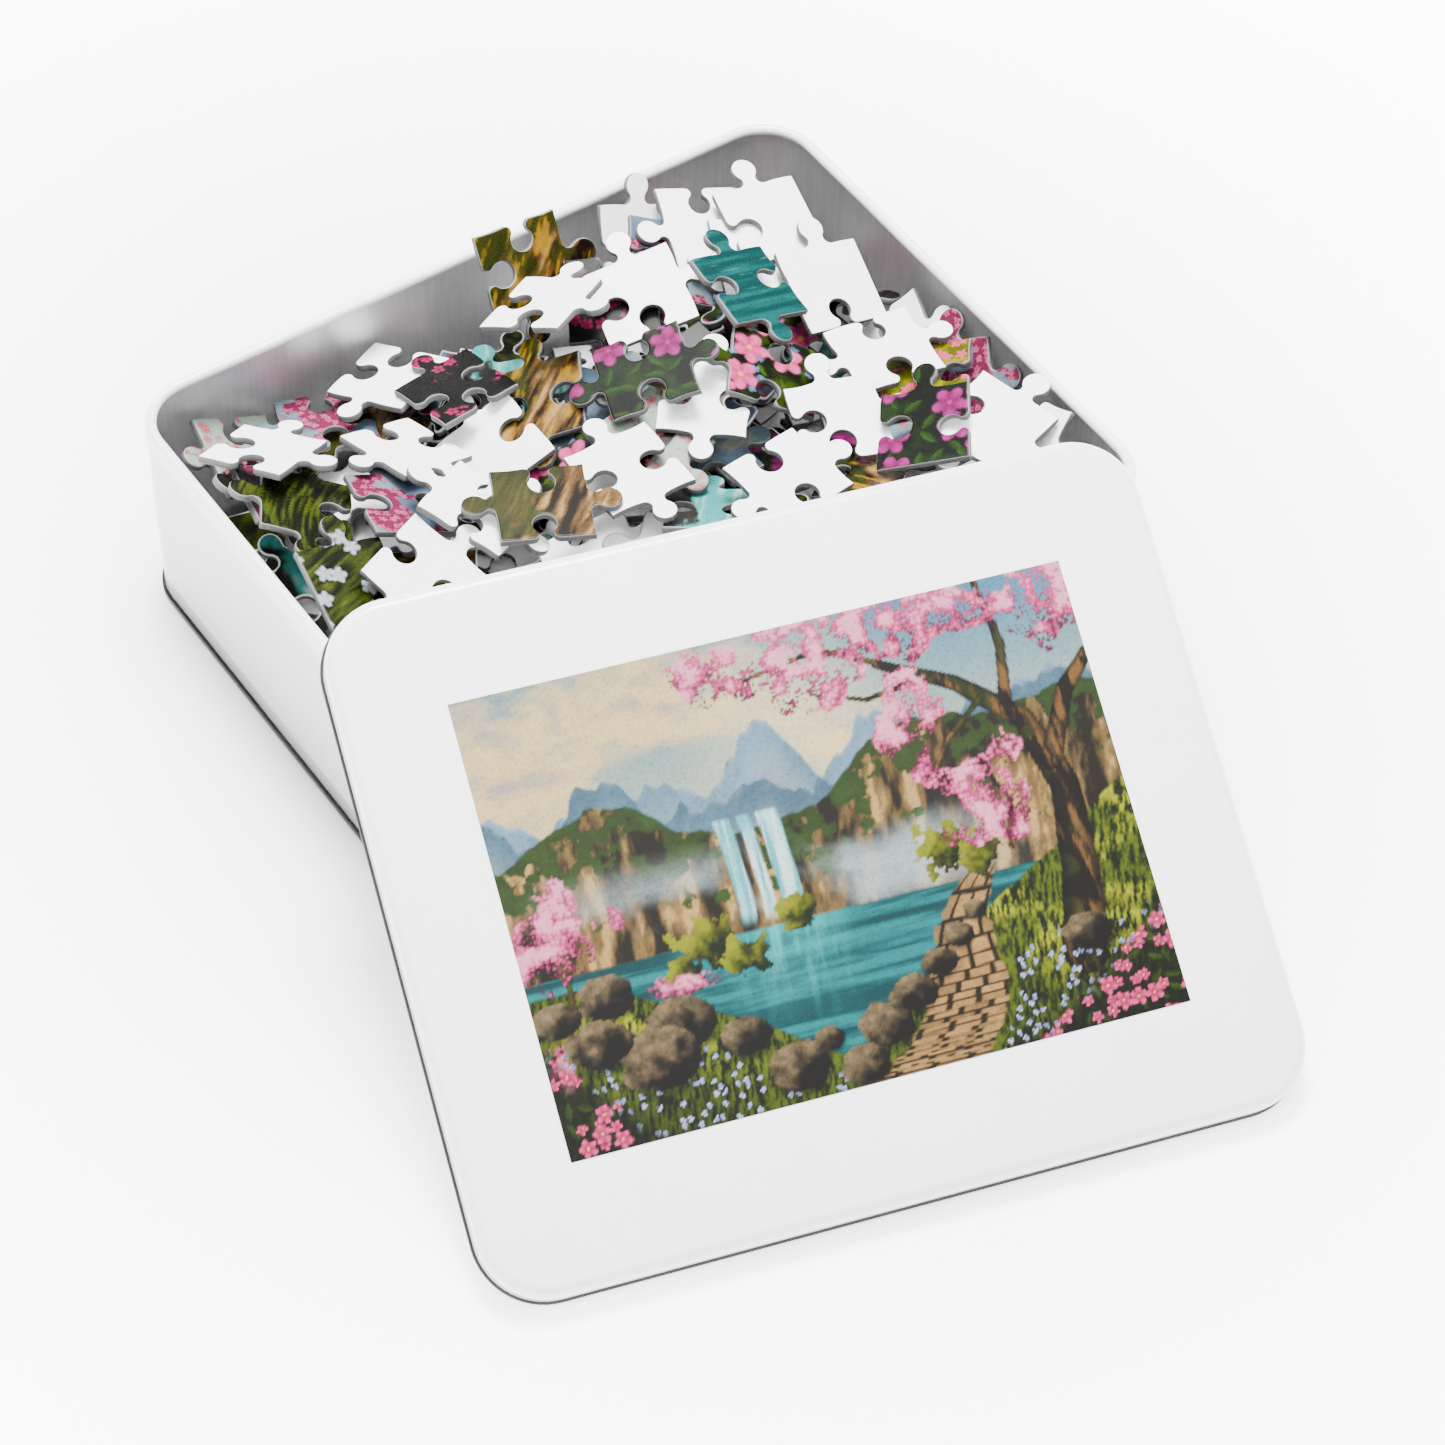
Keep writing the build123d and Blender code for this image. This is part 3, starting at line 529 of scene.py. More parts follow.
class Paint:
    """A material being made."""

    def __init__(self, name):
        self.material = bpy.data.materials.new(name)
        self.material.use_nodes = True
        self.tree = self.material.node_tree
        self.tree.nodes.clear()

    def add(self, kind, settings=None, sockets=None, out=0):
        """Any node, with its settings and its sockets."""
        node = self.tree.nodes.new("ShaderNode" + kind)
        for key, value in (settings or {}).items():
            if key == "stops":
                while len(node.color_ramp.elements) < len(value):
                    node.color_ramp.elements.new(0.5)
                for element, (place, shade) in zip(node.color_ramp.elements, value):
                    element.position, element.color = place, tuple(np.resize(shade, 3)) + (1.0,)
            else:
                setattr(node, key, value)
        for key, value in (sockets or {}).items():
            if isinstance(value, Value):
                self.tree.links.new(value.socket, node.inputs[key])
            else:
                node.inputs[key].default_value = value
        return Value(self, node.outputs[out]) if len(node.outputs) else None

    def math(self, operation, *values):
        """One sum on Values or numbers."""
        return self.add("Math", {"operation": operation}, dict(enumerate(values)))

    def attribute(self, name, out="Fac"):
        """The mesh's own numbers of this name."""
        return self.add("Attribute", {"attribute_name": name}, out=out)

    def place(self, scale=(1, 1, 1)):
        """Object coordinates times a scale along each axis."""
        return self.add("Mapping", {}, {"Vector": self.add("TexCoord", out="Object"), "Scale": scale})

    def grain(self, place, scale, detail=4.0, rough=0.55):
        """Noise between 0 and 1."""
        return self.add("TexNoise", {}, {"Vector": place, "Scale": scale, "Detail": detail,
                "Roughness": rough})

    def ramp(self, factor, *stops):
        """Straight blends between stops of (factor, colour or grey)."""
        return self.add("ValToRGB", {"stops": stops}, {"Fac": factor}, out="Color")

    def spread(self, value, low, high, to_low=0.0, to_high=1.0):
        """Straight line from one range onto another, held at both ends."""
        return self.add("MapRange", {"clamp": True}, {"Value": value, "From Min": low, "From Max": high,
                "To Min": to_low, "To Max": to_high})

    def mix(self, factor, a, b, kind="MIX"):
        """Colour a at factor 0 and b, or a times b, at 1."""
        return self.add("Mix", {"data_type": "RGBA", "blend_type": kind}, {0: factor, 6: a, 7: b}, out=2)

    def bump(self, height, strength):
        """Surface tilted as if height 1 stood a tenth of a millimetre proud."""
        return self.add("Bump", {}, {"Height": height, "Strength": strength, "Distance": 0.1 * MM})

    def finish(self, **sockets):
        """The material, with these sockets on its surface node."""
        named = {key.replace("_", " "): value for key, value in sockets.items()}
        surface = self.add("BsdfPrincipled", {}, named)
        self.add("OutputMaterial", {}, {"Surface": surface})
        return self.material


def colour(r, g, b):
    """Linear colour with full cover, as a socket wants it."""
    return (r, g, b, 1.0)


def enamelled_tin():
    """White enamel where the painted attribute is 1, bare satin tinplate where it is 0. Where the upright
    attribute is 1 the white is greyed: painted shade on the sides.
    """
    paint = Paint("white_enamel_on_tinplate")
    painted, hem, upright = (paint.attribute(name) for name in ("painted", "hem", "upright"))
    place = paint.place()
    mottle = paint.grain(place, 38.0, 5.0)
    drawn = paint.grain(paint.place((1.0, 1.0, 0.06)), 900.0, 3.0)
    white = paint.ramp(mottle, (0.3, (0.8, 0.802, 0.806)), (0.7, (0.835, 0.836, 0.84)))
    # upright faces get grey mixed into the white enamel: painted shade on the tin's outer wall and the
    # lid's skirt
    white = paint.mix(upright * 0.48, white, colour(0.25, 0.25, 0.255))
    steel = paint.ramp(drawn * 0.5 + mottle * 0.5, (0.3, (0.56, 0.56, 0.57)), (0.7, (0.74, 0.74, 0.75)))
    peel = paint.grain(place, 1500.0, 2.0)
    height = peel * painted * 0.25 + drawn * (1.0 - painted) * 0.4
    return paint.finish(
        Base_Color=paint.mix(painted, paint.mix(hem, steel, colour(0.045, 0.045, 0.048)), white),
        Metallic=0.62 - painted * 0.62,
        Roughness=paint.spread(painted, 0.0, 1.0, 0.43, 0.3) + (mottle - 0.5) * 0.1,
        Normal=paint.bump(height, 0.12), Coat_Weight=painted * 0.3, Coat_Roughness=0.08)


def bare_tinplate():
    """Dull tinplate, with the seam at the foot painted nearly black as shade over its bare metal: where the
    larger distance from the middle, or the sum of both at a corner, is near its end."""
    paint = Paint("bare_tinplate")
    place = paint.place()
    mottle = paint.grain(place, 60.0, 5.0)
    drawn = paint.grain(paint.place((1.0, 0.05, 1.0)), 1200.0, 3.0)
    steel = paint.ramp(mottle * 0.6 + drawn * 0.4, (0.3, (0.3, 0.3, 0.31)), (0.7, (0.46, 0.46, 0.47)))
    # nearly black on the seam: painted shade at the tin's foot, over the seam's bare metal
    seam_shade = paint.ramp(mottle, (0.3, (0.018, 0.018, 0.02)), (0.7, (0.04, 0.04, 0.043)))
    x, y = (paint.math("ABSOLUTE", paint.add("SeparateXYZ", {}, {0: place}, out=axis)) for axis in "XY")
    side = paint.math("MAXIMUM", x - (TIN_LENGTH / 2 - SEAM_BAND) * MM,
            y - (TIN_WIDTH / 2 - SEAM_BAND) * MM)
    corner = (x + y - ((TIN_LENGTH + TIN_WIDTH) / 2 - 4.5 * SEAM_BAND) * MM) * 0.7
    seam = paint.spread(paint.math("MAXIMUM", side, corner), 0.0, 0.6 * MM)
    return paint.finish(Base_Color=paint.mix(seam, steel, seam_shade), Metallic=0.9,
            Roughness=0.34 + (mottle - 0.5) * 0.2, Normal=paint.bump(drawn, 0.15))


def puzzle_board():
    """Printed and coated face, smooth white back and fibrous cut edge, told apart by attributes. The cut
    edge is darkened past the board's own grey: painted shade in the gaps between pieces.
    """
    paint = Paint("puzzle_board")
    printed, cut = paint.attribute("printed"), paint.attribute("cut")
    ink = paint.attribute("ink", "Color")
    place = paint.place()
    fine = paint.grain(place, 2600.0, 3.0)
    brush = paint.grain(place, 900.0, 4.0, 0.6)
    fibre = paint.grain(paint.place((1.0, 1.0, 3.0)), 2400.0, 5.0, 0.7)
    patch = paint.grain(place, 120.0, 3.0)
    back = paint.ramp(patch * 0.7 + fine * 0.3, (0.3, (0.8, 0.8, 0.803)), (0.7, 0.86))
    # cut edge: the board's grey core, made darker as painted shade in the gaps between pieces
    raw_edge_and_shade = paint.ramp(fibre, (0.25, (0.07, 0.07, 0.072)), (0.75, 0.2))
    dabs = paint.ramp(brush, (0.25, 0.7), (0.5, 1.0), (0.8, 1.0))
    worked = paint.mix(1.0, ink, dabs, "MULTIPLY")
    base = paint.mix(cut, paint.mix(printed, back, worked), raw_edge_and_shade)
    rough = 0.36 - printed * 0.08 + cut * 0.42 + (fine - 0.5) * 0.08
    height = fine * 0.5 + brush * printed * 0.5 + fibre * cut * 2.5
    coat = (1.0 - cut) * (1.0 - printed) * 0.2
    return paint.finish(Base_Color=base, Roughness=rough, Coat_Weight=coat, Coat_Roughness=0.15,
            Specular_IOR_Level=0.12, Normal=paint.bump(height, 0.18))


def printed_panel():
    """Litho print on the lid: painted colour, fine brush grain and a hard clear varnish."""
    paint = Paint("lid_print")
    ink = paint.attribute("ink", "Color")
    place = paint.place()
    dab = paint.grain(place, 1300.0, 5.0, 0.65)
    fine = paint.grain(place, 4200.0, 2.0)
    shade = paint.ramp(dab, (0.28, (0.62, 0.62, 0.64)), (0.5, 0.96), (0.75, 1.0))
    base = paint.mix(1.0, ink, shade, "MULTIPLY")
    return paint.finish(Base_Color=base, Roughness=0.42 + (fine - 0.5) * 0.1, Specular_IOR_Level=0.12,
            Normal=paint.bump(fine, 0.08))


def deepened(ink):
    """Ink as printed: its distance from grey times 1.18, then raised to a power and scaled down."""
    ink = np.clip(ink, 0, 1)
    grey = (ink @ (0.3, 0.55, 0.15))[..., None]
    return np.clip(grey + (ink - grey) * 1.18, 0.0008, 1) ** 1.38 * 0.42


# ---- meshes ----

def put(name, data):
    """New object in the scene."""
    obj = bpy.data.objects.new(name, data)
    bpy.context.scene.collection.objects.link(obj)
    return obj


def new_piece(name, points, faces, material, node, smooth=True, colours=None, **numbers):
    """Put arrays into a mesh, points in millimetres, and hang it on the CAD node's body."""
    mesh = bpy.data.meshes.new(name)
    mesh.from_pydata((np.asarray(points) * MM).tolist(), [], faces)
    mesh.polygons.foreach_set("use_smooth", np.full(len(mesh.polygons), smooth))
    if colours is not None:
        ink = np.ones((len(points), 4), np.float32)
        ink[:, :3] = deepened(colours)
        mesh.attributes.new("ink", "FLOAT_COLOR", "POINT").data.foreach_set("color", ink.ravel())
    for key, values in numbers.items():
        data = np.broadcast_to(np.asarray(values, np.float32), (len(points),))
        mesh.attributes.new(key, "FLOAT", "POINT").data.foreach_set("value", np.ascontiguousarray(data))
    mesh.materials.append(material)
    mesh.update()
    obj = put(name, mesh)
    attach(obj, BODY_OF[node])
    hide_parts(node)
    return obj


CORNER_POINTS, SIDE_POINTS = 16, 10
LOOP_POINTS = 4 * (CORNER_POINTS + SIDE_POINTS)


def rounded_loop(half_x, half_y, radius):
    """Rounded rectangle, counter-clockwise: four quarter arcs joined by evenly divided sides."""
    turn = np.linspace(0, math.pi / 2, CORNER_POINTS)
    parts = []
    for k, (sx, sy) in enumerate(((1, -1), (1, 1), (-1, 1), (-1, -1))):
        angle = turn + (k - 1) * math.pi / 2
        parts.append(np.column_stack([sx * (half_x - radius) + radius * np.cos(angle),
                sy * (half_y - radius) + radius * np.sin(angle)]))
    out = []
    for k in range(4):
        share = np.linspace(0, 1, SIDE_POINTS + 2)[1:-1, None]
        out += [parts[k], parts[k][-1] * (1 - share) + parts[(k + 1) % 4][0] * share]
    return np.vstack(out)


def carry_round(profile, half_x, half_y, radius, closed):
    """Carry a profile of (inset, height) round the rounded rectangle: one loop for each profile
    point, inset by its first number, and quads between neighbouring loops."""
    loops = [np.column_stack([rounded_loop(half_x - inset, half_y - inset, radius - inset),
            np.full(LOOP_POINTS, height)]) for inset, height in profile]
    count, rows = len(loops[0]), len(loops)
    i = np.arange(rows if closed else rows - 1)[:, None]
    j = np.arange(count)[None, :]
    i2, j2 = (i + 1) % rows, (j + 1) % count
    quads = np.stack([i * count + j, i * count + j2, i2 * count + j2, i2 * count + j], -1)
    return np.vstack(loops), quads.reshape(-1, 4).tolist(), count


def arc(cx, cy, radius, start, end, count):
    """Points on a circle between two angles in degrees."""
    angle = np.radians(np.linspace(start, end, count))
    return np.column_stack([cx + radius * np.cos(angle), cy + radius * np.sin(angle)])


PAINTED_ROLL = 19          # rows of the rolled rim that are enamelled


def make_tin_wall(material):
    """Wall profile: up the outside, round the rolled rim, back along the inside of the roll and
    down the inner face."""
    r, top = RIM_ROLL, TIN_HEIGHT - RIM_ROLL
    outside = np.column_stack([np.zeros(9), np.linspace(FLOOR_LEVEL, top, 9)])[:-1]
    roll = arc(r, top, r, 180, -110, 26)
    under = arc(r, top, r - SHEET, -110, 180, 16)
    inside = np.column_stack([np.full(9, SHEET), np.linspace(top, FLOOR_LEVEL, 9)])[1:]
    profile = np.vstack([outside, roll, under, inside])
    points, faces, count = carry_round(profile, TIN_LENGTH / 2, TIN_WIDTH / 2, CORNER, True)
    row = np.repeat(np.arange(len(profile)), count)
    # upright marks the outer wall, which the enamel greys as painted shade
    wall = new_piece("tin_wall_sheet", points, faces, material, "tin_wall", hem=0.0,
            painted=row < len(outside) + PAINTED_ROLL, upright=row < len(outside))


def lid_to_frame(points):
    """Lean and turn points from the lid's own frame into the tin's."""
    turn = Matrix.Rotation(math.radians(LID_TURN), 3, "Z") @ Matrix.Rotation(math.radians(LID_TILT), 3, "X")
    return np.asarray(points) @ np.array(turn).T + LID_CENTRE


HEM_OUT, SKIRT_END, HEM_IN = 10, 15, 8      # rows of the lid's profile


def make_lid(material):
    """Lid profile: round the folded hem, up the skirt, over the shoulder to the flat top; then the
    same inside. Both flats are closed by one face."""
    d, s, t, h = LID_DEPTH, LID_SHOULDER, SHEET, LID_HEM
    outer = np.vstack([arc(h, h, h, 270, 110, 9), [[SKIRT_INSET, 1.32]],
            np.column_stack([np.full(5, SKIRT_INSET), np.linspace(1.42, d - s, 5)]),
            arc(SKIRT_INSET + s, d - s, s, 180, 90, 14)[1:], [[SKIRT_INSET + s + 1.5, d]]])
    inner = np.vstack([[[SKIRT_INSET + s + 1.5, d - t]], arc(SKIRT_INSET + s, d - s, s - t, 90, 180, 12),
            np.column_stack([np.full(3, SKIRT_INSET + t), np.linspace(d - s, 1.35, 4)[1:]]),
            arc(h, h, h, 35, -90, 8)[:-1]])
    profile = np.vstack([outer, inner])
    half_x, half_y = TIN_LENGTH / 2 + LID_PLAY, TIN_WIDTH / 2 + LID_PLAY
    points, faces, count = carry_round(profile, half_x, half_y, CORNER + LID_PLAY, True)
    rows = len(outer)
    faces = [face for k, face in enumerate(faces) if k // count != rows - 1]
    top, under = (rows - 1) * count, rows * count
    faces += [list(range(top, top + count)), list(range(under + count - 1, under - 1, -1))]
    row = np.repeat(np.arange(len(profile)), count)
    # upright marks the hem and skirt; the enamel greys the skirt as painted shade
    lid = new_piece("lid_sheet", lid_to_frame(points), faces, material, "lid_shell",
            painted=(row >= HEM_OUT) & (row < rows),
            hem=(row < HEM_OUT) | (row >= len(profile) - HEM_IN), upright=row < SKIRT_END)


def make_label(material):
    """Thin panel: a fine grid on top carries the picture, a short wall closes its edge."""
    nu, nv = 330, 240
    u, v = np.meshgrid(np.linspace(0, PICTURE_WIDE, nu + 1), np.linspace(0, 1, nv + 1), indexing="ij")
    ink = lid_picture(u, v).reshape(-1, 3)
    x, y = (u / PICTURE_WIDE - 0.5) * LABEL_LENGTH, (v - 0.5) * LABEL_WIDTH
    grid = np.column_stack([x.ravel(), y.ravel(), np.full(x.size, LID_DEPTH + LABEL_SHEET)])
    i, j = np.meshgrid(np.arange(nu), np.arange(nv), indexing="ij")
    base = (i * (nv + 1) + j).ravel()
    faces = np.column_stack([base, base + nv + 1, base + nv + 2, base + 1]).tolist()
    rim = np.concatenate([np.arange(nu + 1) * (nv + 1), nu * (nv + 1) + np.arange(1, nv + 1),
            np.arange(nu - 1, -1, -1) * (nv + 1) + nv, np.arange(nv - 1, 0, -1)])
    foot = grid[rim] - (0, 0, LABEL_SHEET)
    n, first = len(rim), len(grid)
    nxt = (np.arange(n) + 1) % n
    faces += np.column_stack([rim[nxt], rim, first + np.arange(n), first + nxt]).tolist()
    faces.append(list(range(first + n - 1, first - 1, -1)))
    label = new_piece("lid_picture_panel", lid_to_frame(np.vstack([grid, foot])), faces, material,
            "lid_picture_label", smooth=False, colours=np.vstack([ink, ink[rim]]))


def in_polygon(polygon, x, y):
    """Even-odd test of many points against a polygon."""
    result = np.zeros(x.shape, bool)
    for (px, py), (qx, qy) in zip(polygon, np.roll(polygon, -1, 0)):
        if py != qy:
            result ^= ((py > y) != (qy > y)) & (x < (qx - px) * (y - py) / (qy - py) + px)
    return result


def cad_plates(node):
    """Each separate plate of a CAD node: its axes, the middle of its upper face, and that face's
    outline about the middle in millimetres, counter-clockwise. Corners of a triangle take the
    lowest label among them until none changes. The upper face is the plane with the most area, its
    outline the sides of one triangle only. The axes turn by a quarter of the mean fourfold angle of
    the sides, weighted by length squared."""
    mesh = NODES[node].data
    co = np.empty(len(mesh.vertices) * 3)
    mesh.vertices.foreach_get("co", co)
    mesh.calc_loop_triangles()
    tri = np.empty(len(mesh.loop_triangles) * 3, int)
    mesh.loop_triangles.foreach_get("vertices", tri)
    co = co.reshape(-1, 3) / MM
    first, back = np.unique(np.round(co, 3), axis=0, return_index=True, return_inverse=True)[1:]
    co, tri = co[first], back.ravel()[tri].reshape(-1, 3)
    label = np.arange(len(co))
    while True:
        low = label[tri].min(1)
        new = label.copy()
        np.minimum.at(new, tri.ravel(), np.repeat(low, 3))
        new = new[new]
        if np.array_equal(new, label):
            break
        label = new
    plates = []
    for tag in np.unique(label[tri[:, 0]]):
        part = tri[label[tri[:, 0]] == tag]
        a, b, c = co[part[:, 0]], co[part[:, 1]], co[part[:, 2]]
        area = np.cross(b - a, c - a)
        size = np.linalg.norm(area, axis=1)
        real = size > 1e-9
        part, area, size, a = part[real], area[real], size[real], a[real]
        unit = area / size[:, None]
        up = unit[unit[:, 2] > 0.2]
        where = np.unique(np.round(up, 2), axis=0, return_inverse=True)[1].ravel()
        share = np.bincount(where, size[unit[:, 2] > 0.2])
        normal = up[where == share.argmax()].mean(0)
        normal /= np.linalg.norm(normal)
        height = a @ normal
        face = part[(unit @ normal > 0.999) & (height > height.max() - 0.2)]
        edge = np.vstack([face[:, [0, 1]], face[:, [1, 2]], face[:, [2, 0]]])
        pairs = set(map(tuple, edge.tolist()))
        follow = {p: q for p, q in pairs if (q, p) not in pairs}
        ring = [next(iter(sorted(follow)))]
        while follow[ring[-1]] != ring[0]:
            ring.append(follow[ring[-1]])
        loop = co[ring]
        across = np.cross(normal, (0.0, 1.0, 0.0))
        across /= np.linalg.norm(across)
        axes = np.column_stack([across, np.cross(normal, across), normal])
        flat_loop = (loop - loop[0]) @ axes
        side = np.roll(flat_loop, -1, 0) - flat_loop
        length = np.hypot(side[:, 0], side[:, 1])
        four = (length ** 2 * np.exp(4j * np.arctan2(side[:, 1], side[:, 0]))).sum()
        turn = np.angle(four) / 4
        axes[:, :2] = axes[:, :2] @ np.array([[math.cos(turn), -math.sin(turn)],
                [math.sin(turn), math.cos(turn)]])
        flat_loop = (loop - loop[0]) @ axes
        middle = (flat_loop[:, :2].min(0) + flat_loop[:, :2].max(0)) / 2
        plates.append((axes, loop[0] + axes[:, :2] @ middle, flat_loop[:, :2] - middle))
    return plates


def divided(outline, step_length):
    """Divide long sides of an outline, keeping its own corners."""
    out = []
    for p, q in zip(outline, np.roll(outline, -1, 0)):
        count = max(1, int(round(np.linalg.norm(q - p) / step_length)))
        out.append(p + (q - p) * (np.arange(count) / count)[:, None])
    return np.vstack(out)


def thinned(outline, least):
    """Drop points closer than a least spacing to the one before, unless they turn a corner."""
    before, after = np.roll(outline, 1, 0), np.roll(outline, -1, 0)
    a, b = outline - before, after - outline
    bend = np.abs(np.cross(a, b)) / (np.linalg.norm(a, axis=1) * np.linalg.norm(b, axis=1) + 1e-9)
    keep, gone = [], 0.0
    for k in range(len(outline)):
        gone += np.linalg.norm(a[k])
        if gone >= least or bend[k] > 0.5 or k == 0:
            keep.append(k)
            gone = 0.0
    return outline[keep]


def inset_directions(outline):
    """Inward mitre direction at each outline point: the mean of its two side normals, lengthened
    so that both sides move in by the same amount."""
    side = np.roll(outline, -1, 0) - outline
    side /= np.linalg.norm(side, axis=1)[:, None] + 1e-12
    inward = np.column_stack([-side[:, 1], side[:, 0]])
    both = inward + np.roll(inward, 1, 0)
    both /= np.linalg.norm(both, axis=1)[:, None] + 1e-12
    return both / np.clip((both * inward).sum(1), 0.62, 1)[:, None]


def plate_arrays(outline, rings, grid_top, grid_low):
    """Solid plate from an outline. rings are (inset, height) from the lower face round the edge to
    the upper; each face is filled with triangles over a scatter of inner points."""
    direction = inset_directions(outline)
    n = len(outline)
    levels = [np.column_stack([outline + direction * inset, np.full(n, height)]) for inset, height in rings]
    points = [np.vstack(levels)]
    i, j = np.arange(len(rings) - 1)[:, None], np.arange(n)[None, :]
    j2 = (j + 1) % n
    faces = np.stack([i * n + j, i * n + j2, (i + 1) * n + j2, (i + 1) * n + j], -1).reshape(-1, 4).tolist()
    total = len(rings) * n
    for first, gap, flip in (((len(rings) - 1) * n, grid_top, False), (0, grid_low, True)):
        edge = points[0][first:first + n]
        inner = np.zeros((0, 2))
        if gap:
            lo, hi = edge[:, :2].min(0), edge[:, :2].max(0)
            x, y = np.meshgrid(np.arange(lo[0], hi[0], gap), np.arange(lo[1], hi[1], gap * 0.87),
                    indexing="ij")
            x = x + gap / 2 * (np.arange(x.shape[1]) % 2)[None, :]
            inside = in_polygon((outline + direction * (0.75 + gap * 0.45))[::2], x, y)
            inner = np.column_stack([x[inside], y[inside]])
        flat_points = np.vstack([edge[:, :2], inner])
        made = delaunay_2d_cdt([Vector(p) for p in flat_points], [], [list(range(n))], 1, 1e-6)
        source = np.array([ids[0] if ids else -1 for ids in made[3]])
        place = np.where(source < n, first + source, total + source - n)
        fill = [[int(place[k]) for k in face] for face in made[2] if all(source[k] >= 0 for k in face)]
        faces += [face[::-1] for face in fill] if flip else fill
        points.append(np.column_stack([inner, np.full(len(inner), edge[0, 2])]))
        total += len(inner)
    return np.vstack(points), faces, n


# a plate's edge from its lower face round to its upper: how far in from the outline, and how high
PICTURE_UP_RINGS = ((0.45, 0.0), (0.1, 0.0), (0.0, 0.12), (0.0, 1.3), (0.05, 1.58), (0.17, 1.79),
        (0.36, 1.9), (0.62, 1.9))
BACK_UP_RINGS = ((0.62, 0.0), (0.36, 0.0), (0.17, 0.11), (0.05, 0.32), (0.0, 0.6), (0.0, 1.76),
        (0.05, 1.86), (0.15, 1.9), (0.45, 1.9))


def make_pieces(node, material, number, fine):
    """Rebuild a node's plates with rolled die-cut edges and printed faces. The node's name tells
    which side is up; buried plates, not fine, do with fewer rings and points."""
    up = "picture" in node
    rings = PICTURE_UP_RINGS if up else BACK_UP_RINGS
    if not fine:
        spared = (2, 4) if up else (2, 4, 7)
        rings = [ring for k, ring in enumerate(rings) if k not in spared]
    inset = np.array([ring[0] for ring in rings])
    all_points, all_faces, ink, printed, cut, start = [], [], [], [], [], 0
    for k, (axes, centre, outline) in enumerate(cad_plates(node)):
        if fine:
            outline = divided(thinned(outline, 0.34), 0.7)
            grids = (0.5, 0) if up else (0, 1.3)
        else:
            outline = divided(thinned(outline, 0.8), 2.6)
            grids = (1.5, 0) if up else (0, 3.5)
        points, faces, n = plate_arrays(outline, rings, *grids)
        if fine and up:
            paint = PRINTS[number - 1]
        else:
            paint = BURIED_PRINTS[(number + k * 5) % len(BURIED_PRINTS)]
        x = points[:, 0] if up else -points[:, 0]
        ink.append(np.clip(paint(x, points[:, 1], number * 3.7 + k * 1.3), 0, 1))
        ring_of = np.repeat(np.arange(len(rings)), n)
        from_print = np.abs(ring_of - (len(rings) - 1 if up else 0))
        mark, edge = np.ones(len(points)), np.zeros(len(points))
        mark[:len(ring_of)] = (from_print < (3 if fine else 1)) & (inset[ring_of] > 0.1)
        edge[:len(ring_of)] = inset[ring_of] < 0.14
        printed.append(mark)
        cut.append(edge)
        all_points.append((points - (0, 0, BOARD)) @ axes.T + centre)
        all_faces += [[start + v for v in face] for face in faces]
        start += len(points)
    name = node.replace("buried_", "under_").replace("_piece", "_plate")
    piece = new_piece(name + "_board", np.vstack(all_points), all_faces, material, node,
            colours=np.vstack(ink), printed=np.concatenate(printed), cut=np.concatenate(cut))


# ---- room, light and camera ----

LAMP_AIM = (0, -0.02, 0.03)
CAMERA_PLACE = (-0.3947, -0.59335, 0.79565)
CAMERA_AZIMUTH, CAMERA_ELEVATION, CAMERA_ROLL, CAMERA_LENS = -35.417, 49.806, 1.269, 102.83


def make_floor():
    """Large level sheet, pale and matt, that glows more with distance from the middle. The glow fades to
    nothing near the object: a painted soft shadow round it.
    """
    mesh = bpy.data.meshes.new("table")
    mesh.from_pydata([(-6, -6, 0), (6, -6, 0), (6, 6, 0), (-6, 6, 0)], [], [(0, 1, 2, 3)])
    paint = Paint("pale_table")
    patch = paint.grain(paint.place(), 3.0, 2.0)
    tone = paint.ramp(patch, (0.3, 0.88), (0.7, 0.9))
    oval = paint.place((1.0, 0.85, 1.0))
    reach = paint.add("VectorMath", {"operation": "LENGTH"}, {0: oval}, out="Value")
    # no glow near the object and full glow far off: a painted soft shadow round the object, from a floor
    # that glows though it is no lamp
    glow = paint.ramp(paint.spread(reach, 0.1, 0.36), (0.0, 0.0), (0.5, 0.6), (1.0, 1.0))
    mesh.materials.append(paint.finish(Base_Color=tone, Roughness=0.8, Emission_Color=glow,
            Emission_Strength=7.5))
    put("table", mesh)


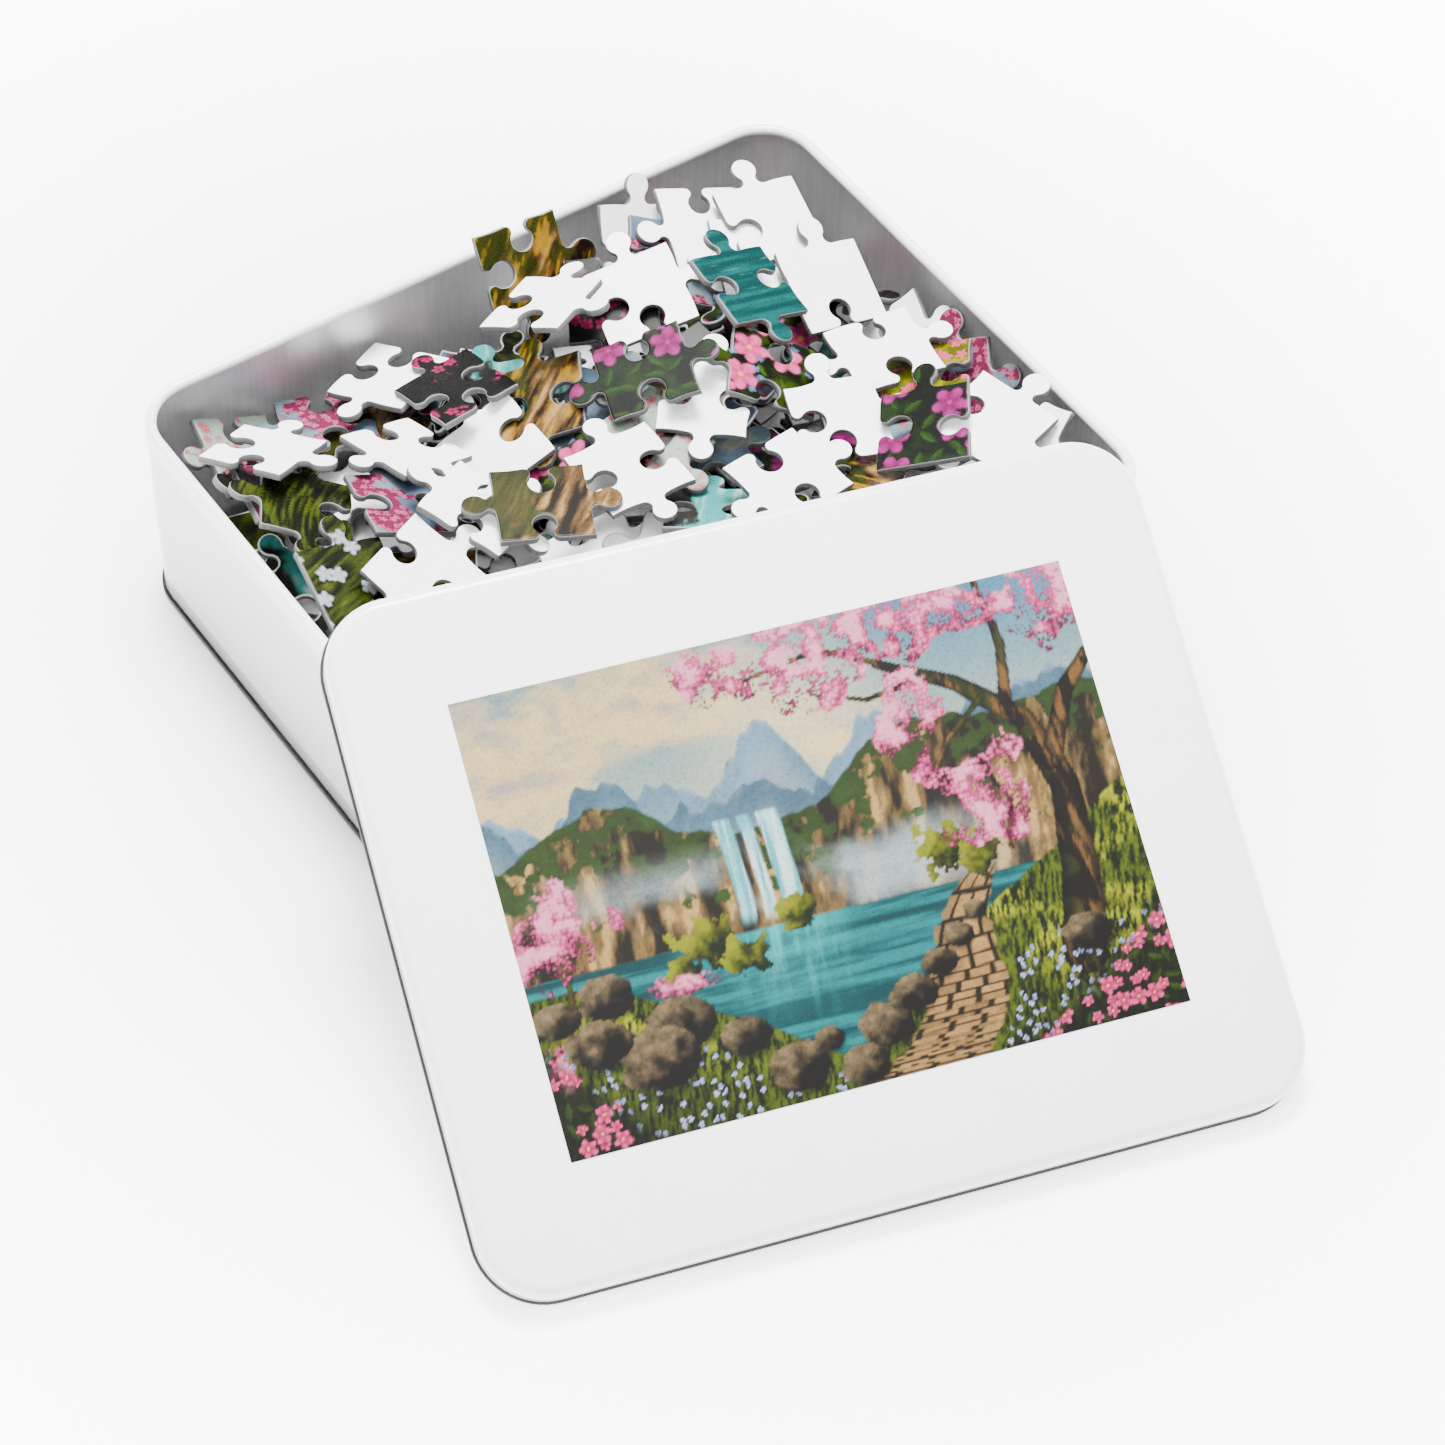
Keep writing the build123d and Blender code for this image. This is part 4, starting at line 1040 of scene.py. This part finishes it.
def add_lamp(name, place, size, power):
    """Round soft lamp that faces the middle of the object; size in metres, power in watts."""
    lamp = bpy.data.lights.new(name, "AREA")
    lamp.shape, lamp.size, lamp.energy = "DISK", size, power
    obj = put(name, lamp)
    obj.location = place
    obj.rotation_euler = (Vector(LAMP_AIM) - Vector(place)).to_track_quat("-Z", "Y").to_euler()


def light_room():
    """Even white surroundings, a soft lamp above and behind, and a wide one straight overhead."""
    world = bpy.data.worlds.new("studio")
    bpy.context.scene.world = world
    world.use_nodes = True
    back = world.node_tree.nodes["Background"]
    back.inputs["Color"].default_value = colour(1.0, 1.0, 1.0)
    back.inputs["Strength"].default_value = 0.65
    add_lamp("overhead", (0.16, 0.3, 1.3), 0.5, 66.0)
    add_lamp("canopy", (0.05, 0.1, 1.45), 2.2, 78.0)


def aim_camera():
    """Camera whose back direction comes from its azimuth and elevation, rolled about that line."""
    azimuth, elevation, roll = (math.radians(a) for a in (CAMERA_AZIMUTH, CAMERA_ELEVATION, CAMERA_ROLL))
    back = Vector((math.sin(azimuth) * math.cos(elevation), -math.cos(azimuth) * math.cos(elevation),
            math.sin(elevation)))
    right = Vector((math.cos(azimuth), math.sin(azimuth), 0))
    up = back.cross(right)
    right, up = (right * math.cos(roll) + up * math.sin(roll),
            up * math.cos(roll) - right * math.sin(roll))
    lens = bpy.data.cameras.new("camera")
    lens.lens, lens.sensor_width, lens.clip_start, lens.clip_end = CAMERA_LENS, 36.0, 0.05, 20.0
    camera = put("camera", lens)
    turned = Matrix((right, up, back)).transposed().to_4x4()
    camera.matrix_world = Matrix.Translation(CAMERA_PLACE) @ turned
    bpy.context.scene.camera = camera


def build():
    """Every piece in turn, then the room around them."""
    enamel, steel, board, panel = enamelled_tin(), bare_tinplate(), puzzle_board(), printed_panel()
    make_tin_wall(enamel)
    make_lid(enamel)
    make_label(panel)
    bottom = NODES["tin_bottom"].data
    bottom.materials.clear()
    bottom.materials.append(steel)
    for node in sorted(n for n in NODES if "_up_piece_" in n):
        make_pieces(node, board, int(node[-2:]), True)
    for number, node in enumerate(sorted(n for n in NODES if n.startswith("buried_"))):
        make_pieces(node, board, number, False)
    make_floor()
    light_room()
    aim_camera()


build()
